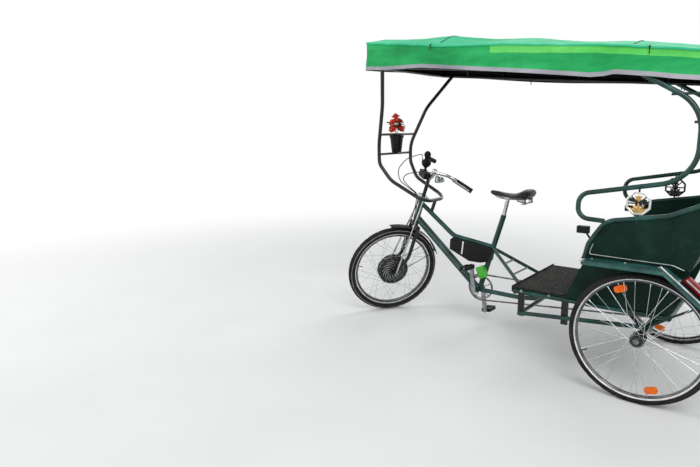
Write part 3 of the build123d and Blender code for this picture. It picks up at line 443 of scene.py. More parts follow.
def rim_with_painted_light(name, joint, edge_r, width):
    """A wheel rim: a bright band on the rolled edge next to the tyre as a painted highlight, and the bed inside it
    painted dark as shade.
    """
    made = Finish(name, Metallic=1.0)
    hub, axle = Vector(JOINTS[joint]["pos_m"]), Vector(JOINTS[joint]["axis"])
    out = made.node("VectorMath", {0: made.place, 1: hub}, operation="SUBTRACT").outputs["Vector"]
    along = made.node("VectorMath", {0: out, 1: axle}, operation="CROSS_PRODUCT")
    radius = made.node("VectorMath", {0: along.outputs["Vector"]}, operation="LENGTH").outputs["Value"]
    # Painted highlight: bright metal on a band at the rolled edge; painted shade: the dark bed inside it
    rolled = made.span(radius, 0, 1, edge_r - width, edge_r - width + 0.0012)
    metal = made.ramp(made.grain(24, 5), [(0.35, (0.52, 0.53, 0.54)), (0.6, (0.74, 0.75, 0.76))])
    bed = made.ramp(made.grain(30, 5), [(0.35, (0.07, 0.072, 0.075)), (0.6, (0.15, 0.152, 0.155))])
    made.to("Base Color", made.mixed(rolled, bed, metal))
    made.to("Roughness", made.span(made.grain(60, 4), 0.22, 0.4))
    made.to("Normal", made.relief(made.grain(500, 2), 0.08, 0.0005))
    return made.material


def granular():
    """The floor's loose black granular mat."""
    made = Finish("mat_rubber", Specular_IOR_Level=0.2)
    crumbs = made.node("TexVoronoi", {"Vector": made.place, "Scale": 150, "Randomness": 1.0})
    speck = made.tones(crumbs.outputs["Color"], (0.2, 0.6, 0.9), (12, 12, 12), (30, 30, 29), (74, 72, 68))
    made.to("Base Color", made.mixed(made.span(made.grain(5, 4), 0, 0.4, 0.5, 0.8), speck, tint(70, 66, 58)))
    made.to("Roughness", made.span(crumbs.outputs["Distance"], 0.65, 0.95, 0, 0.6))
    made.to("Normal", made.relief(crumbs.outputs["Distance"], 0.9, 0.002))
    return made.material


FINISH = {name: kind(name, *looks) for name, kind, *looks in (
    ("green_enamel", enamel, (9, 42, 37), (17, 60, 54), (34, 86, 79)),
    # The front pillars' enamel: the frame's green paint made darker as painted shade
    ("pillar_enamel", enamel, (5, 18, 16), (9, 30, 27), (20, 52, 47)),
    # The tub's panel enamel: the frame's green paint made darker as painted shade, and duller
    ("panel_enamel", enamel, (6, 30, 22), (9, 40, 31), (15, 54, 43), (0.42, 0.6), 0.05, 0.12),
    ("shelf_enamel", enamel, (26, 66, 61), (44, 92, 86), (66, 118, 110)),
    ("black_enamel", enamel, (6, 8, 8), (12, 14, 14), (24, 27, 26)),
    ("fork_enamel", enamel, (8, 12, 12), (16, 22, 21), (34, 42, 41), (0.2, 0.36)),
    ("chrome_plate", plated, (0.6, 0.61, 0.62), (0.36, 0.37, 0.38)),
    ("spoke_steel", plated, (0.6, 0.61, 0.62), (0.4, 0.41, 0.42), (0.22, 0.38)),
    ("trim_alloy", plated, (0.42, 0.45, 0.45), (0.26, 0.29, 0.29), (0.3, 0.45)),
    ("dull_alloy", plated, (0.34, 0.35, 0.36), (0.18, 0.19, 0.2), (0.3, 0.5)),
    ("emblem_gold", plated, (0.56, 0.36, 0.14), (0.34, 0.21, 0.08), (0.22, 0.4)),
    ("chain_steel", plated, (0.2, 0.19, 0.17), (0.07, 0.065, 0.06), (0.35, 0.6)),
    ("tyre_rubber", moulded, (16, 16, 17), (44, 41, 39), (0.6, 0.85), (900, 0.2)),
    ("stripe_white", moulded, (150, 151, 148), (192, 193, 190), (0.4, 0.6), (900, 0.1)),
    ("knob_white", moulded, (196, 200, 198), (226, 229, 227), (0.3, 0.45), (700, 0.1)),
    ("black_plastic", moulded, (9, 9, 10), (22, 22, 23)),
    ("grip_rubber", moulded, (8, 8, 8), (24, 23, 22), (0.55, 0.8), (380, 0.5)),
    ("pot_plastic", moulded, (8, 9, 8), (20, 22, 20), (0.25, 0.45), (500, 0.1)),
    ("lock_green", moulded, (62, 158, 52), (98, 198, 74), (0.3, 0.5), (600, 0.12)),
    ("amber_lens", moulded, (224, 92, 14), (250, 132, 40), (0.12, 0.25), (260, 0.5)),
    ("red_lens", moulded, (104, 14, 16), (158, 30, 30), (0.1, 0.22), (240, 0.5)),
    ("pale_lens", moulded, (150, 178, 178), (204, 220, 220), (0.06, 0.16), (210, 0.6)),
    ("teal_vinyl", leathercloth, (44, 126, 121), (56, 142, 136), (70, 158, 151)),
    ("black_vinyl", leathercloth, (8, 8, 9), (18, 18, 19), (36, 36, 36)),
    ("canopy_green", woven, (24, 132, 72), (36, 160, 88), (54, 184, 106), (20, 96, 56)),
    ("canopy_mint", woven, (44, 180, 124), (58, 194, 140), (88, 212, 162), (38, 150, 104)),
    ("canopy_lime", woven, (74, 184, 76), (96, 206, 98), (124, 222, 118), (50, 130, 58)),
    ("canopy_hem", woven, (132, 132, 140), (156, 156, 164), (180, 180, 186), (96, 96, 102)),
    ("canopy_lining", woven, (3, 4, 4), (7, 8, 8), (14, 15, 15), (3, 3, 3)),
    ("petal_red", leathercloth, (200, 52, 30), (228, 74, 48), (244, 108, 74)),
    ("leaf_green", leathercloth, (16, 44, 20), (30, 66, 30), (60, 96, 48)),
    ("cable_black", moulded, (16, 16, 17), (44, 44, 46), (0.3, 0.5), (900, 0.08)),
    ("motor_black", enamel, (14, 15, 15), (22, 23, 23), (40, 41, 41), (0.3, 0.45)),
    ("fin_alloy", plated, (0.42, 0.43, 0.44), (0.16, 0.16, 0.17), (0.28, 0.45)),
    ("emblem_silver", plated, (0.62, 0.64, 0.63), (0.44, 0.46, 0.45), (0.26, 0.42)),
)}
FINISH["mat_rubber"] = granular()


def painted(finish, *nodes):
    """Give CAD nodes that stay as they are their finish."""
    for node in nodes:
        slots = frame["nodes"][node].data.materials
        if not slots:
            slots.append(finish)
        for index in range(len(slots)):
            slots[index] = finish


for finish, nodes in {
        # The front pillars get the darker green as painted shade
        "pillar_enamel": "front_pillars",
        "green_enamel": "main_frame seat_stays lower_chassis floor_rails edge_tube_left edge_tube_right"
                        " armrest_curve_left armrest_curve_right fender_struts",
        # The tub's panels, seat deck and floor plate get the darker green as painted shade
        "panel_enamel": "tub_back tub_lower_sides tub_riser tub_upper_sides seat_deck floor_plate",
        "shelf_enamel": "fenders",
        "black_enamel": "roof_rails roof_bows cross_bars hangers axle_drive",
        "fork_enamel": "fork",
        "chrome_plate": "truss_rods handlebar bell seat_post",
        "trim_alloy": "trim_beads",
        "chain_steel": "chain",
        "dull_alloy": "crank brake_levers",
        "black_plastic": "battery_case control_box front_mudguard pedal_left pedal_right front_lamps",
        "grip_rubber": "grips horn",
        "cable_black": "cables",
        "lock_green": "lock_body",
        "mat_rubber": "floor_mat"}.items():
    painted(FINISH[finish], *nodes.split())
# The rims: a painted highlight on the edge band and painted shade in the bed
painted(rim_with_painted_light("rim_front", "front_wheel_spin", 0.29, 0.007), "front_rim")
for side in SIDES:
    painted(rim_with_painted_light(f"rim_{side}", f"rear_wheel_{side}_spin", 0.303, 0.0075), f"rear_rim_{side}")


# ---- wheels ----

# Each tyre's outer radius, half its width, and how far round its section it reaches, in degrees
FRONT_TYRE = (0.337, 0.027, 134)
REAR_TYRE = (0.33, 0.022, 104)
TREAD_DEEP = 0.0016
TREAD_ANGLES = (92, 80, 72, 66, 48, 38, 26, 9)
TYRE_STEPS = 144


def tyre(name, place, body, sizes, replaces):
    """A tyre down to its rim, with cut tread; the front one has a pale line on its side walls."""
    outer, half, reach = sizes
    middle, wall = outer - half, half - TREAD_DEEP
    outline = []
    for angle in (-reach, *(-angle for angle in TREAD_ANGLES), *reversed(TREAD_ANGLES), reach):
        turn = radians(angle)
        outline.append((middle + wall * cos(turn), wall * sin(turn)))
    piece = turned(name, outline + outline[:1], steps=TYRE_STEPS)

    def knob(face):
        x, y, z = face.center
        if hypot(x, y) < middle + half * 0.55 or abs(z) > half * 0.72:
            return False
        step = int((atan2(y, x) % tau) / tau * TYRE_STEPS)
        return step % 3 != 0 if abs(z) > half * 0.46 else (step + (z > 0)) % 2 == 0

    reshaped(piece, bpy.ops.mesh.extrude_region_shrink_fatten, knob,
             TRANSFORM_OT_shrink_fatten={"value": TREAD_DEEP})
    settled(piece, place)
    if name != "tyre_front":
        return fitted(piece, body, "tyre_rubber", replaces, 30)
    centre, axle = place.to_translation(), place.to_3x3().col[2]

    def banded(face):
        out = face.center - centre
        along = out.dot(axle)
        radius = (out - axle * along).length
        return 66 < degrees(atan2(abs(along), radius - middle)) < 73

    return fitted(piece, body, ["tyre_rubber", "stripe_white"], replaces, 30, banded)


def laced(name, place, body, hole_r, flange, seat_r):
    """Crossed spokes with their heads and nipples, from two flanges to the rim."""
    per_side, lead = 18, radians(58)
    spokes = []
    for side in (-1, 1):
        across = Vector((0, 0, side * 0.0035))
        for count in range(per_side):
            angle = tau / per_side * (count + 0.25 * side)
            turn = angle + (lead if count % 2 else -lead)
            hole = Vector((hole_r * cos(angle), hole_r * sin(angle), side * flange))
            seat = Vector((seat_r * cos(turn), seat_r * sin(turn), side * 0.004))
            along = (seat - hole).normalized()
            for part, start, end, radius in (("spoke", hole, seat, 0.00115),
                                             ("nipple", seat - along * 0.013, seat + along * 0.002, 0.0022),
                                             ("spoke_head", hole - across, hole + across, 0.0024)):
                spokes.append(rod(part, start, end, radius, 6))
    fitted(settled(united(name, spokes), place), body, "spoke_steel", edge=40)


def hub_motor():
    """The front wheel's motor: shell, two finned covers, and the bolts round them."""
    half = 0.036
    lower = [(0.0062, -half - 0.008), (0.022, -half - 0.008), (0.025, -half - 0.006), (0.028, -half),
             (0.034, -half), (0.036, -half + 0.003), (0.086, -0.027), (0.09, -0.026), (0.094, -0.0225),
             (0.102, -0.022), (0.112, -0.021), (0.112, -0.0165), (0.106, -0.0155)]
    outline = lower + [(radius, -z) for radius, z in reversed(lower)] + lower[:1]
    fitted(turned("motor_shell", outline, FRONT_WHEEL, 72), "front_wheel", "motor_black",
           "front_hub_motor", 30)
    fins = []
    for side in (-1, 1):
        path = []
        for step in range(7):
            radius, turn = 0.038 + 0.0082 * step, 0.95 * (step / 6) ** 1.4
            path.append((radius * cos(turn), radius * sin(turn),
                         side * (half - 0.0038 - 0.0076 * step / 6)))
        fins.append(repeated("fins", bent("fin", path, 0.0031, steps=3), round_about(14)))
        bolt = turned("bolt", [(0, 0.004), (0.003, 0.004), (0.0036, 0.003), (0.0036, 0), (0, 0)], steps=6)
        settled(bolt, shifted(0.0985, 0, side * 0.0212) @ spun(0 if side > 0 else pi, "X"))
        fins.append(repeated("bolts", bolt, round_about(9)))
    fitted(settled(united("motor_fins", fins), FRONT_WHEEL), "front_wheel", "fin_alloy", edge=40)


def rear_hub(side, place, body):
    """A rear wheel's hub, its flanges, end nut and the short drive shaft behind it."""
    shell = turned(f"hub_shell_{side}", [
        (0, -0.036), (0.018, -0.036), (0.021, -0.033), (0.022, -0.032), (0.034, -0.032), (0.034, -0.027),
        (0.024, -0.026), (0.02, -0.022), (0.019, 0), (0.02, 0.022), (0.024, 0.026), (0.034, 0.027), (0.034, 0.032),
        (0.028, 0.033), (0.026, 0.036), (0.025, 0.044), (0.021, 0.047), (0.013, 0.048), (0, 0.048)], place, 40)
    fitted(shell, body, "black_enamel", f"rear_hub_{side}", 30)
    nut = turned("nut", [(0, 0.06), (0.0045, 0.0605), (0.0052, 0.059), (0.0052, 0.057), (0.0115, 0.0565),
                         (0.0118, 0.056), (0.0118, 0.0485), (0.0155, 0.0485), (0.0155, 0.0465), (0, 0.0465)], steps=6)
    shaft = rod("shaft", (0, 0, -0.036), (0, 0, -0.438), 0.009, 20)
    piece = settled(united(f"hub_nut_{side}", [nut, shaft]), place)
    fitted(piece, body, "dull_alloy", edge=25)
    laced(f"spokes_{side}", place, body, 0.030, 0.0295, 0.2855)


def spoke_reflector(name, wheel, body, angle):
    """An amber wheel reflector clipped between two spokes."""
    lens = block(name, (0.06, 0.034, 0.011))
    edited(lens)
    bpy.ops.mesh.select_all(action="DESELECT")
    closed(lens)
    for edge in lens.data.edges:
        one, other = (lens.data.vertices[number].co for number in edge.vertices)
        edge.select = abs(one.z - other.z) > 0.005
    bpy.ops.object.mode_set(mode="EDIT")
    bpy.ops.mesh.select_mode(type="EDGE")
    bpy.ops.mesh.bevel(offset=0.013, segments=5, affect="EDGES")
    closed(lens)
    for margin, deep in ((0.0025, 0.0), (0.0004, -0.0014)):
        reshaped(lens, bpy.ops.mesh.inset, lambda face: abs(face.normal.z) > 0.95 and face.area > 0.0006,
                 thickness=margin, depth=deep)
    settled(lens, wheel @ spun(radians(angle)) @ shifted(0.257, 0, 0) @ spun(pi / 2))
    fitted(lens, body, "amber_lens", edge=40)


def valve(name, wheel, body, radius, angle):
    """An inner tube's valve with its cap, through the rim."""
    stem = turned(name, [(0, 0), (0.0028, 0.0006), (0.0031, 0.003), (0.0031, 0.011), (0.0024, 0.0115), (0.0024, 0.03),
                         (0.0034, 0.0302), (0.0034, 0.0325), (0, 0.0325)],
                  wheel @ spun(radians(angle)) @ shifted(radius, 0, 0) @ spun(pi / 2, "Y"), 14)
    fitted(stem, body, "cable_black", edge=35)


tyre("tyre_front", FRONT_WHEEL, "front_wheel", FRONT_TYRE, "front_tyre")
hub_motor()
laced("spokes_front", FRONT_WHEEL, "front_wheel", 0.108, 0.0185, 0.2675)
valve("valve_front", FRONT_WHEEL, "front_wheel", 0.237, 171)
for side, place in REAR_WHEELS.items():
    body = f"rear_wheel_{side}"
    tyre(f"tyre_{side}", place, body, REAR_TYRE, f"rear_tyre_{side}")
    rear_hub(side, place, body)
    for number, angle in ((1, 112), (2, 287)):
        spoke_reflector(f"reflector_{side}_{number}", place, body, angle)
    valve(f"valve_{side}", place, body, 0.255, 205)


# ---- roof cloth ----

ROOF_REAR, ROOF_FRONT, ROOF_HALF = -0.5, 1.7, 0.4683
ROOF_MIDDLE, ROOF_LENGTH = 0.6, 2.2
ROOF_CORNER = 0.034
# The hem's straight line: its height at the rear, and how far it climbs to the front
HEM_REAR_Z, HEM_CLIMB = 1.526, 0.202
# Heights over that line: the side edges, and the dome from the middle towards them
EDGE_Z = 0.1378
DOME = [(0, 0.2263), (0.2915, 0.2123)]
HEM_WAVES = [(-0.5, -0.004), (-0.143, -0.0145), (-0.049, -0.011), (0.029, -0.005), (0.1, -0.001), (0.153, 0.001),
             (0.205, 0.004), (0.245, -0.007), (0.316, -0.014), (0.461, -0.008), (0.671, -0.001), (0.899, 0.0045),
             (1.086, 0.0095), (1.286, 0.014), (1.429, 0.003), (1.54, -0.005), (1.665, -0.008), (1.7, -0.012)]
ROOF_FALL = [(ROOF_REAR, 0.064), (1.18, 0.0), (ROOF_FRONT, 0.016)]
EDGE_RISE = [(-0.5, 0.026), (-0.134, 0.03), (0.06, 0.034), (0.277, 0.037), (0.518, 0.0315), (0.845, 0.022),
             (1.154, 0.001), (1.43, 0.022), (1.7, 0.038)]
BOWS = (-0.466, 0.14, 0.66, 1.18, 1.666)
TURN_STEPS = (0.0, 0.002, 0.0055, 0.0105, 0.0165, 0.0245, 0.034)
BAND_DEEP = [(-0.134, 0.033), (0.84, 0.041)]
BAND_FRONT = 0.852
CLOTH_FINISHES = ["canopy_mint", "canopy_green", "canopy_lime", "canopy_hem", "canopy_lining"]
LIP = [(0.0, 0.0), (0.003, 0.002), (0.0045, 0.0055), (0.004, 0.009), (-0.0005, 0.0085), (-0.0015, 0.011)]
HEM_DEEP = 0.021
# The last row of the turned edge, of the band, of the drop and of the hem
LIP_END = len(LIP) - 1
BAND_END = LIP_END + 3
DROP_END = BAND_END + 8
HEM_END = DROP_END + 3


def along_line(points, at):
    """The second value of a list of points at a first value between them."""
    for (x0, v0), (x1, v1) in zip(points, points[1:]):
        if at <= x1:
            return v0 + (v1 - v0) * max(0.0, (at - x0) / (x1 - x0))
    return points[-1][1]


def slope_z(x):
    """Height of the hem's straight line."""
    return HEM_REAR_Z + (x - ROOF_REAR) * HEM_CLIMB / ROOF_LENGTH


def rounded(x, y):
    """A place on the roof's plan with the plan's four corners rounded, and the way out of it."""
    deep_x = abs(x - ROOF_MIDDLE) - (ROOF_LENGTH / 2 - ROOF_CORNER)
    deep_y = abs(y) - (ROOF_HALF - ROOF_CORNER)
    way_x, way_y = copysign(1, x - ROOF_MIDDLE), copysign(1, y)
    if deep_x <= 0 or deep_y <= 0:
        return x, y, Vector((way_x, 0, 0)) if deep_x > deep_y else Vector((0, way_y, 0))
    share = max(deep_x, deep_y) / hypot(deep_x, deep_y)
    return (x - way_x * deep_x * (1 - share), y - way_y * deep_y * (1 - share),
            Vector((way_x * deep_x, way_y * deep_y, 0)).normalized())


def stretched_top(x, y):
    """Height of the cloth's top: taut over the bows, sagging between them, rounded off at both ends."""
    edge = EDGE_Z + along_line(EDGE_RISE, x)
    dome = along_line([*DOME, (ROOF_HALF, edge)], abs(y))
    end = min(1.0, max(0.0, min(x - ROOF_REAR, ROOF_FRONT - x)) / ROOF_CORNER)
    dome = edge + (dome - edge) * sqrt(1 - (1 - end) ** 2)
    inner = max(0.0, 1 - (abs(y) / ROOF_HALF) ** 4) * end
    share = 0.0
    for before, after in zip(BOWS, BOWS[1:]):
        if before < x < after:
            share = sin(pi * (x - before) / (after - before))
    pull = (0.009 * abs(noise.noise((x * 2.6 + y * 3, y * 12, 1.3)))
            + 0.006 * abs(noise.noise((x * 8 + y * 15, y * 24, 4.1))))
    sag = (0.009 * share ** 1.5 + pull * (0.25 + 0.75 * share)) * inner
    ruffle = 0.0035 * noise.noise((x * 17, y * 3, 8.2)) * (abs(y) / ROOF_HALF) ** 6 * end
    return slope_z(x) - along_line(ROOF_FALL, x) + dome - sag + ruffle


def plan_steps(start, end, count):
    """Places along one side of the roof, close together where the cloth turns over its two ends."""
    turn = TURN_STEPS[-1]
    inside = [start + turn + (end - start - 2 * turn) * step / count for step in range(1, count)]
    return [start + step for step in TURN_STEPS] + inside + [end - step for step in reversed(TURN_STEPS)]


def hanging(x, y, row):
    """A place on the hanging sides: the top's turned edge, the band under it, the drop and the hem."""
    x, y, out = rounded(x, y)
    high = stretched_top(x, y)
    waves = along_line(HEM_WAVES, x) * min(1.0, abs(y) / ROOF_HALF) ** 2
    if y < 0:
        waves = 0.007 * sin(x * 4.3 + 1)
    hem = slope_z(x) + waves + 0.006 * cos(y * 9) * max(0.0, 1 - abs(y) / ROOF_HALF)
    if row <= LIP_END:
        aside, down = LIP[row]
        return spot(x, y, high - down) + out * aside
    below = high - hem - HEM_DEEP
    band = along_line(BAND_DEEP, x)
    if row <= BAND_END:
        down = LIP[-1][1] + (band - 0.004) * (row - LIP_END) / (BAND_END - LIP_END)
    elif row <= DROP_END:
        start = LIP[-1][1] + band - 0.004
        down = start + (below - start) * (row - BAND_END) / (DROP_END - BAND_END)
    else:
        down = below + HEM_DEEP * (row - DROP_END) / (HEM_END - DROP_END)
    ripple = (0.009 * noise.noise(((x + y) * 4.2 + down * 2.5, down * 4, 7.0))
              + 0.005 * noise.noise(((x + y) * 11 - down * 9, down * 7, 2.0))
              + 0.0022 * noise.noise(((x + y) * 31, down * 24, 5.0)))
    aside = LIP[-1][0] + max(-0.0015, 0.0025 + ripple) * min(1.0, down / 0.09)
    if row > DROP_END:
        aside += 0.0012
    return spot(x, y, high - down) + out * aside


def roof_cloth():
    """The roof's cover, as one cloth: the stretched top, and four sides that hang from its turned edge."""
    lengths, widths = plan_steps(ROOF_REAR, ROOF_FRONT, 104), plan_steps(-ROOF_HALF, ROOF_HALF, 40)
    top = grid("canopy_top", len(lengths) - 1, len(widths) - 1)
    for vertex in top.data.vertices:
        x = lengths[round((vertex.co.x + 1) / 2 * (len(lengths) - 1))]
        y = widths[round((vertex.co.y + 1) / 2 * (len(widths) - 1))]
        x, y, out = rounded(x, y)
        vertex.co = spot(x, y, stretched_top(x, y))
    rim = ([(x, ROOF_HALF) for x in lengths[:-1]] + [(ROOF_FRONT, y) for y in reversed(widths[1:])]
           + [(x, -ROOF_HALF) for x in reversed(lengths[1:])] + [(ROOF_REAR, y) for y in widths])
    skirt = grid("canopy_skirt", len(rim) - 1, HEM_END)
    for vertex in skirt.data.vertices:
        x, y = rim[round((vertex.co.x + 1) / 2 * (len(rim) - 1))]
        vertex.co = hanging(x, y, round((1 - vertex.co.y) / 2 * HEM_END))
    for index, face in enumerate(skirt.data.polygons):
        row = HEM_END - 1 - index // (len(rim) - 1)
        banded = abs(face.center.y) > ROOF_HALF - 0.02 and face.center.x - REAR_AXLE_X < BAND_FRONT
        if row < LIP_END:
            face.material_index = 0
        elif row < BAND_END and banded:
            face.material_index = 2
        else:
            face.material_index = 3 if row >= DROP_END else 1
    for cloth in (top, skirt):
        for name in CLOTH_FINISHES:
            cloth.data.materials.append(FINISH[name])
    cloth = united("canopy", [top, skirt])
    edited(cloth)
    bpy.ops.mesh.remove_doubles(threshold=0.00015)
    bpy.ops.mesh.normals_make_consistent(inside=False)
    closed(cloth)
    ridge = max(cloth.data.polygons, key=lambda face: face.center.z)
    if ridge.normal.z < 0:
        reshaped(cloth, bpy.ops.mesh.flip_normals)
    worked(cloth, "SOLIDIFY", thickness=0.0014, offset=-1.0, material_offset=4, material_offset_rim=0)
    return fitted(cloth, "chassis", CLOTH_FINISHES, "roof_cover", 50)


def strap(x):
    """A narrow black strap drawn tight across the top over a bow, almost from edge to edge."""
    across = [ROOF_HALF * (1 - 2 * step / 22) * 0.9 for step in range(23)]
    return bent("strap", [spot(x, y, stretched_top(x, y) + 0.0012) for y in across], 0.0026, steps=2)


def tie(x, side, drop):
    """A black cord end that holds the cloth's edge to the bow below it."""
    outer = spot(x, side * (ROOF_HALF + 0.0075), stretched_top(x, ROOF_HALF))
    points = [outer + Vector((0.004, -side * 0.03, 0.01)), outer + Vector((0.002, -side * 0.008, 0.0035)),
              outer + Vector((0, 0.0, -0.006)), outer + Vector((-0.002, side * 0.001, -drop))]
    knot = turned("knot", [(0, -0.005), (0.004, -0.0035), (0.0055, 0), (0.004, 0.0035), (0, 0.005)],
                  facing(outer + Vector((0, 0, -0.004)), (1, 0, 0)), 12)
    return united("tie", [bent("tie_cord", points, 0.0022, sides=1, steps=3), knot])


canopy = roof_cloth()
cords = [strap(1.176), strap(0.14)]
for side in (1, -1):
    cords += [tie(1.215, side, 0.03), tie(0.062, side, 0.036)]
    for x, drop in ((0.06, 0.034), (0.075, 0.026), (0.98, 0.03)):
        low = spot(x, side * 0.455, slope_z(x) + 0.004)
        cords.append(bent("hem_tie", [low + Vector((0, 0, 0.016)), low + Vector((0.002, side * 0.003, -0.006)),
                                      low + Vector((-0.003, 0, -drop))], 0.0028, sides=1, steps=3))
roof_ties = united("roof_ties", cords)
fitted(roof_ties, "chassis", "cable_black", edge=40)


# ---- seats ----

def padding(name, node, seams=(), swell=0.012):
    """A stuffed piece: the CAD solid's shape, remeshed, blown up as cloth and eased."""
    source = frame["nodes"][node]
    piece = source.copy()
    piece.data = source.data.copy()
    piece.name = piece.data.name = name
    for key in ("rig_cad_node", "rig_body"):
        if key in piece:
            del piece[key]
    piece.parent = None
    bpy.context.collection.objects.link(piece)
    piece.data.materials.clear()
    edited(piece)
    bpy.ops.mesh.remove_doubles(threshold=1e-5)
    closed(piece)
    worked(piece, "REMESH", mode="VOXEL", voxel_size=0.006)
    worked(piece, "DISPLACE", strength=-0.004, mid_level=0.0)
    rest = [vertex.co.copy() for vertex in piece.data.vertices]
    alone(piece)
    cloth = piece.modifiers.new("Cloth", "CLOTH")
    cloth.settings.use_pressure = True
    cloth.settings.uniform_pressure_force = 4.0
    cloth.settings.effector_weights.gravity = 0
    cloth.point_cache.frame_start, cloth.point_cache.frame_end = 1, PAD_FRAMES
    for step in range(1, PAD_FRAMES + 1):
        bpy.context.scene.frame_set(step)
    bpy.ops.object.modifier_apply(modifier=cloth.name)
    bpy.context.scene.frame_set(1)
    for vertex, was in zip(piece.data.vertices, rest):
        moved = vertex.co - was
        if moved.length > swell:
            vertex.co = was + moved.normalized() * swell
    worked(piece, "SMOOTH", factor=0.5, iterations=4)
    for vertex, normal in zip(piece.data.vertices, [vertex.normal.copy() for vertex in piece.data.vertices]):
        deep = max((depth * exp(-(off(vertex.co) / width) ** 2) for off, width, depth in seams), default=0.0)
        vertex.co -= normal * deep
    fitted(piece, "chassis", "teal_vinyl", node, 80)


PAD_FRAMES = 20
cushion_low, cushion_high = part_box("seat_cushion")
welt_z = cushion_high.z - 0.017
padding("cushion", "seat_cushion",
        [(lambda co: co.z - welt_z, 0.0035, 0.0045), (lambda co: co.z - cushion_low.z - 0.012, 0.003, 0.003)])
padding("backrest", "back_pad", swell=0.014)


def saddle_top():
    """The rider's saddle: narrow raised nose, dip, and a wide raised rear with a skirt all round."""
    piece = added("saddle_pad", bpy.ops.mesh.primitive_uv_sphere_add, segments=48, ring_count=28, radius=1)
    width = [(0.748, 0.0), (0.752, 0.06), (0.765, 0.086), (0.79, 0.095), (0.82, 0.096), (0.86, 0.074), (0.9, 0.046),
             (0.95, 0.029), (1.0, 0.023), (1.02, 0.0185), (1.032, 0.0)]
    top = [(0.748, 0.962), (0.76, 0.9735), (0.79, 0.9715), (0.83, 0.951), (0.87, 0.938), (0.92, 0.94), (0.98, 0.95),
           (1.02, 0.9535), (1.032, 0.944)]
    low = [(0.748, 0.942), (0.765, 0.917), (0.82, 0.911), (0.9, 0.913), (0.96, 0.917), (1.01, 0.924),
           (1.032, 0.938)]
    for vertex in piece.data.vertices:
        x = 0.89 + 0.142 * vertex.co.x
        ring = max(1e-4, sqrt(max(0.0, 1 - vertex.co.x ** 2)))
        side, up = vertex.co.y / ring, vertex.co.z / ring
        wide = along_line(width, x)
        high, deep = along_line(top, x), along_line(low, x)
        y = wide * copysign(abs(side) ** 0.75, side)
        crown = 1 - 0.35 * (abs(y) / 0.096) ** 2
        middle = deep + (high - deep) * 0.35
        z = middle + ((high - middle) * max(0.0, up) ** 0.8 * crown if up > 0 else (middle - deep) * up)
        vertex.co = spot(x, y, z)
    fitted(piece, "chassis", "black_vinyl", "saddle", 60)


saddle_top()


# ---- flowers ----

def rose(radius):
    """One artificial rose: a tight bud and three rounds of curled petals."""
    petals = []
    for count, reach, lean, rise, size in ((4, 0.12, 0.3, 0.5, 0.66), (5, 0.3, 0.6, 0.3, 0.86),
                                           (7, 0.5, 1.0, 0.0, 1.0)):
        outwards, upwards = sin(lean), cos(lean)
        for number in range(count):
            petal = grid("petal", 5, 4)
            for vertex in petal.data.vertices:
                u, v = vertex.co.x, (vertex.co.y + 1) / 2
                vertex.co = (0.7 * size * sin(pi * (0.18 + 0.74 * v)) * u,
                             reach * 0.4 + outwards * v * size * 0.8 + 0.22 * v * v * outwards
                             - 0.25 * u * u * size * v,
                             rise * 0.2 + upwards * v * size * 0.95 - 0.16 * v * v * outwards)
            turn = tau * (number + 0.5 * (count % 2)) / count + random.uniform(-0.15, 0.15)
            petals.append(settled(petal, spun(turn)))
    bud = added("bud", bpy.ops.mesh.primitive_uv_sphere_add, segments=14, ring_count=8, radius=0.5)
    for vertex in bud.data.vertices:
        turn = atan2(vertex.co.y, vertex.co.x)
        vertex.co *= 1 + 0.12 * sin(3 * turn + 5 * vertex.co.z)
        vertex.co.z = vertex.co.z * 1.1 + 0.32
    bloom = united("rose", [*petals, bud])
    worked(bloom, "SOLIDIFY", thickness=0.03)
    bloom.scale = (radius, radius, radius)
    return settled(bloom)


def leaf(length):
    """One leaf, arched along its length."""
    piece = grid("leaf", 4, 6)
    for vertex in piece.data.vertices:
        u, v = vertex.co.x, (vertex.co.y + 1) / 2
        wide = 0.26 * sin(pi * min(1, v * 0.98 + 0.02)) ** 0.8
        vertex.co = (u * wide * length, v * length, (abs(u) * 0.12 - 0.3 * v * v) * length)
    return worked(piece, "SOLIDIFY", thickness=0.0006)


def bouquet():
    """Eight roses over the pot, with leaves and stems between them."""
    low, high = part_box("flowers")
    middle = (low + high) / 2
    blooms = []
    for dx, dy, up, radius, lean in ((0.004, 0.03, 0.042, 0.034, 1.0), (-0.03, -0.004, 0.045, 0.032, 1.1),
                                     (0.034, -0.012, 0.05, 0.032, 0.9), (0.0, -0.03, 0.048, 0.032, 0.9),
                                     (0.016, 0.02, 0.088, 0.034, 0.7), (-0.016, 0.016, 0.094, 0.034, 0.6),
                                     (0.0, -0.018, 0.098, 0.032, 0.6), (0.004, 0.006, 0.126, 0.034, 0.15)):
        flower = rose(radius)
        out = Vector((dx, dy, 0))
        away = Vector((0, 0, cos(lean))) + out.normalized() * sin(lean)
        blooms.append(settled(flower, facing(Vector((middle.x + dx, dy, low.z + up)), away)))
    fitted(united("roses", blooms), "chassis", "petal_red", "flowers", 60)
    green = []
    for number in range(22):
        turn, rise = random.uniform(0, tau), random.uniform(-0.2, 0.9)
        blade = leaf(random.uniform(0.035, 0.055))
        foot = Vector((middle.x + 0.018 * cos(turn), 0.018 * sin(turn), low.z + random.uniform(0.01, 0.09)))
        away = Vector((cos(turn), sin(turn), rise)).normalized()
        side = away.cross(Vector((0, 0, 1))).normalized()
        green.append(settled(blade, axes(foot, side, away, side.cross(away))))
    for dx, dy in ((0.0, 0.0), (0.012, 0.01), (-0.01, -0.012)):
        green.append(rod("stem", (middle.x + dx * 0.4, dy * 0.4, low.z - 0.012),
                         (middle.x + dx, dy, low.z + 0.12), 0.002, 6))
    fitted(united("rose_leaves", green), "chassis", "leaf_green", edge=50)


bouquet()

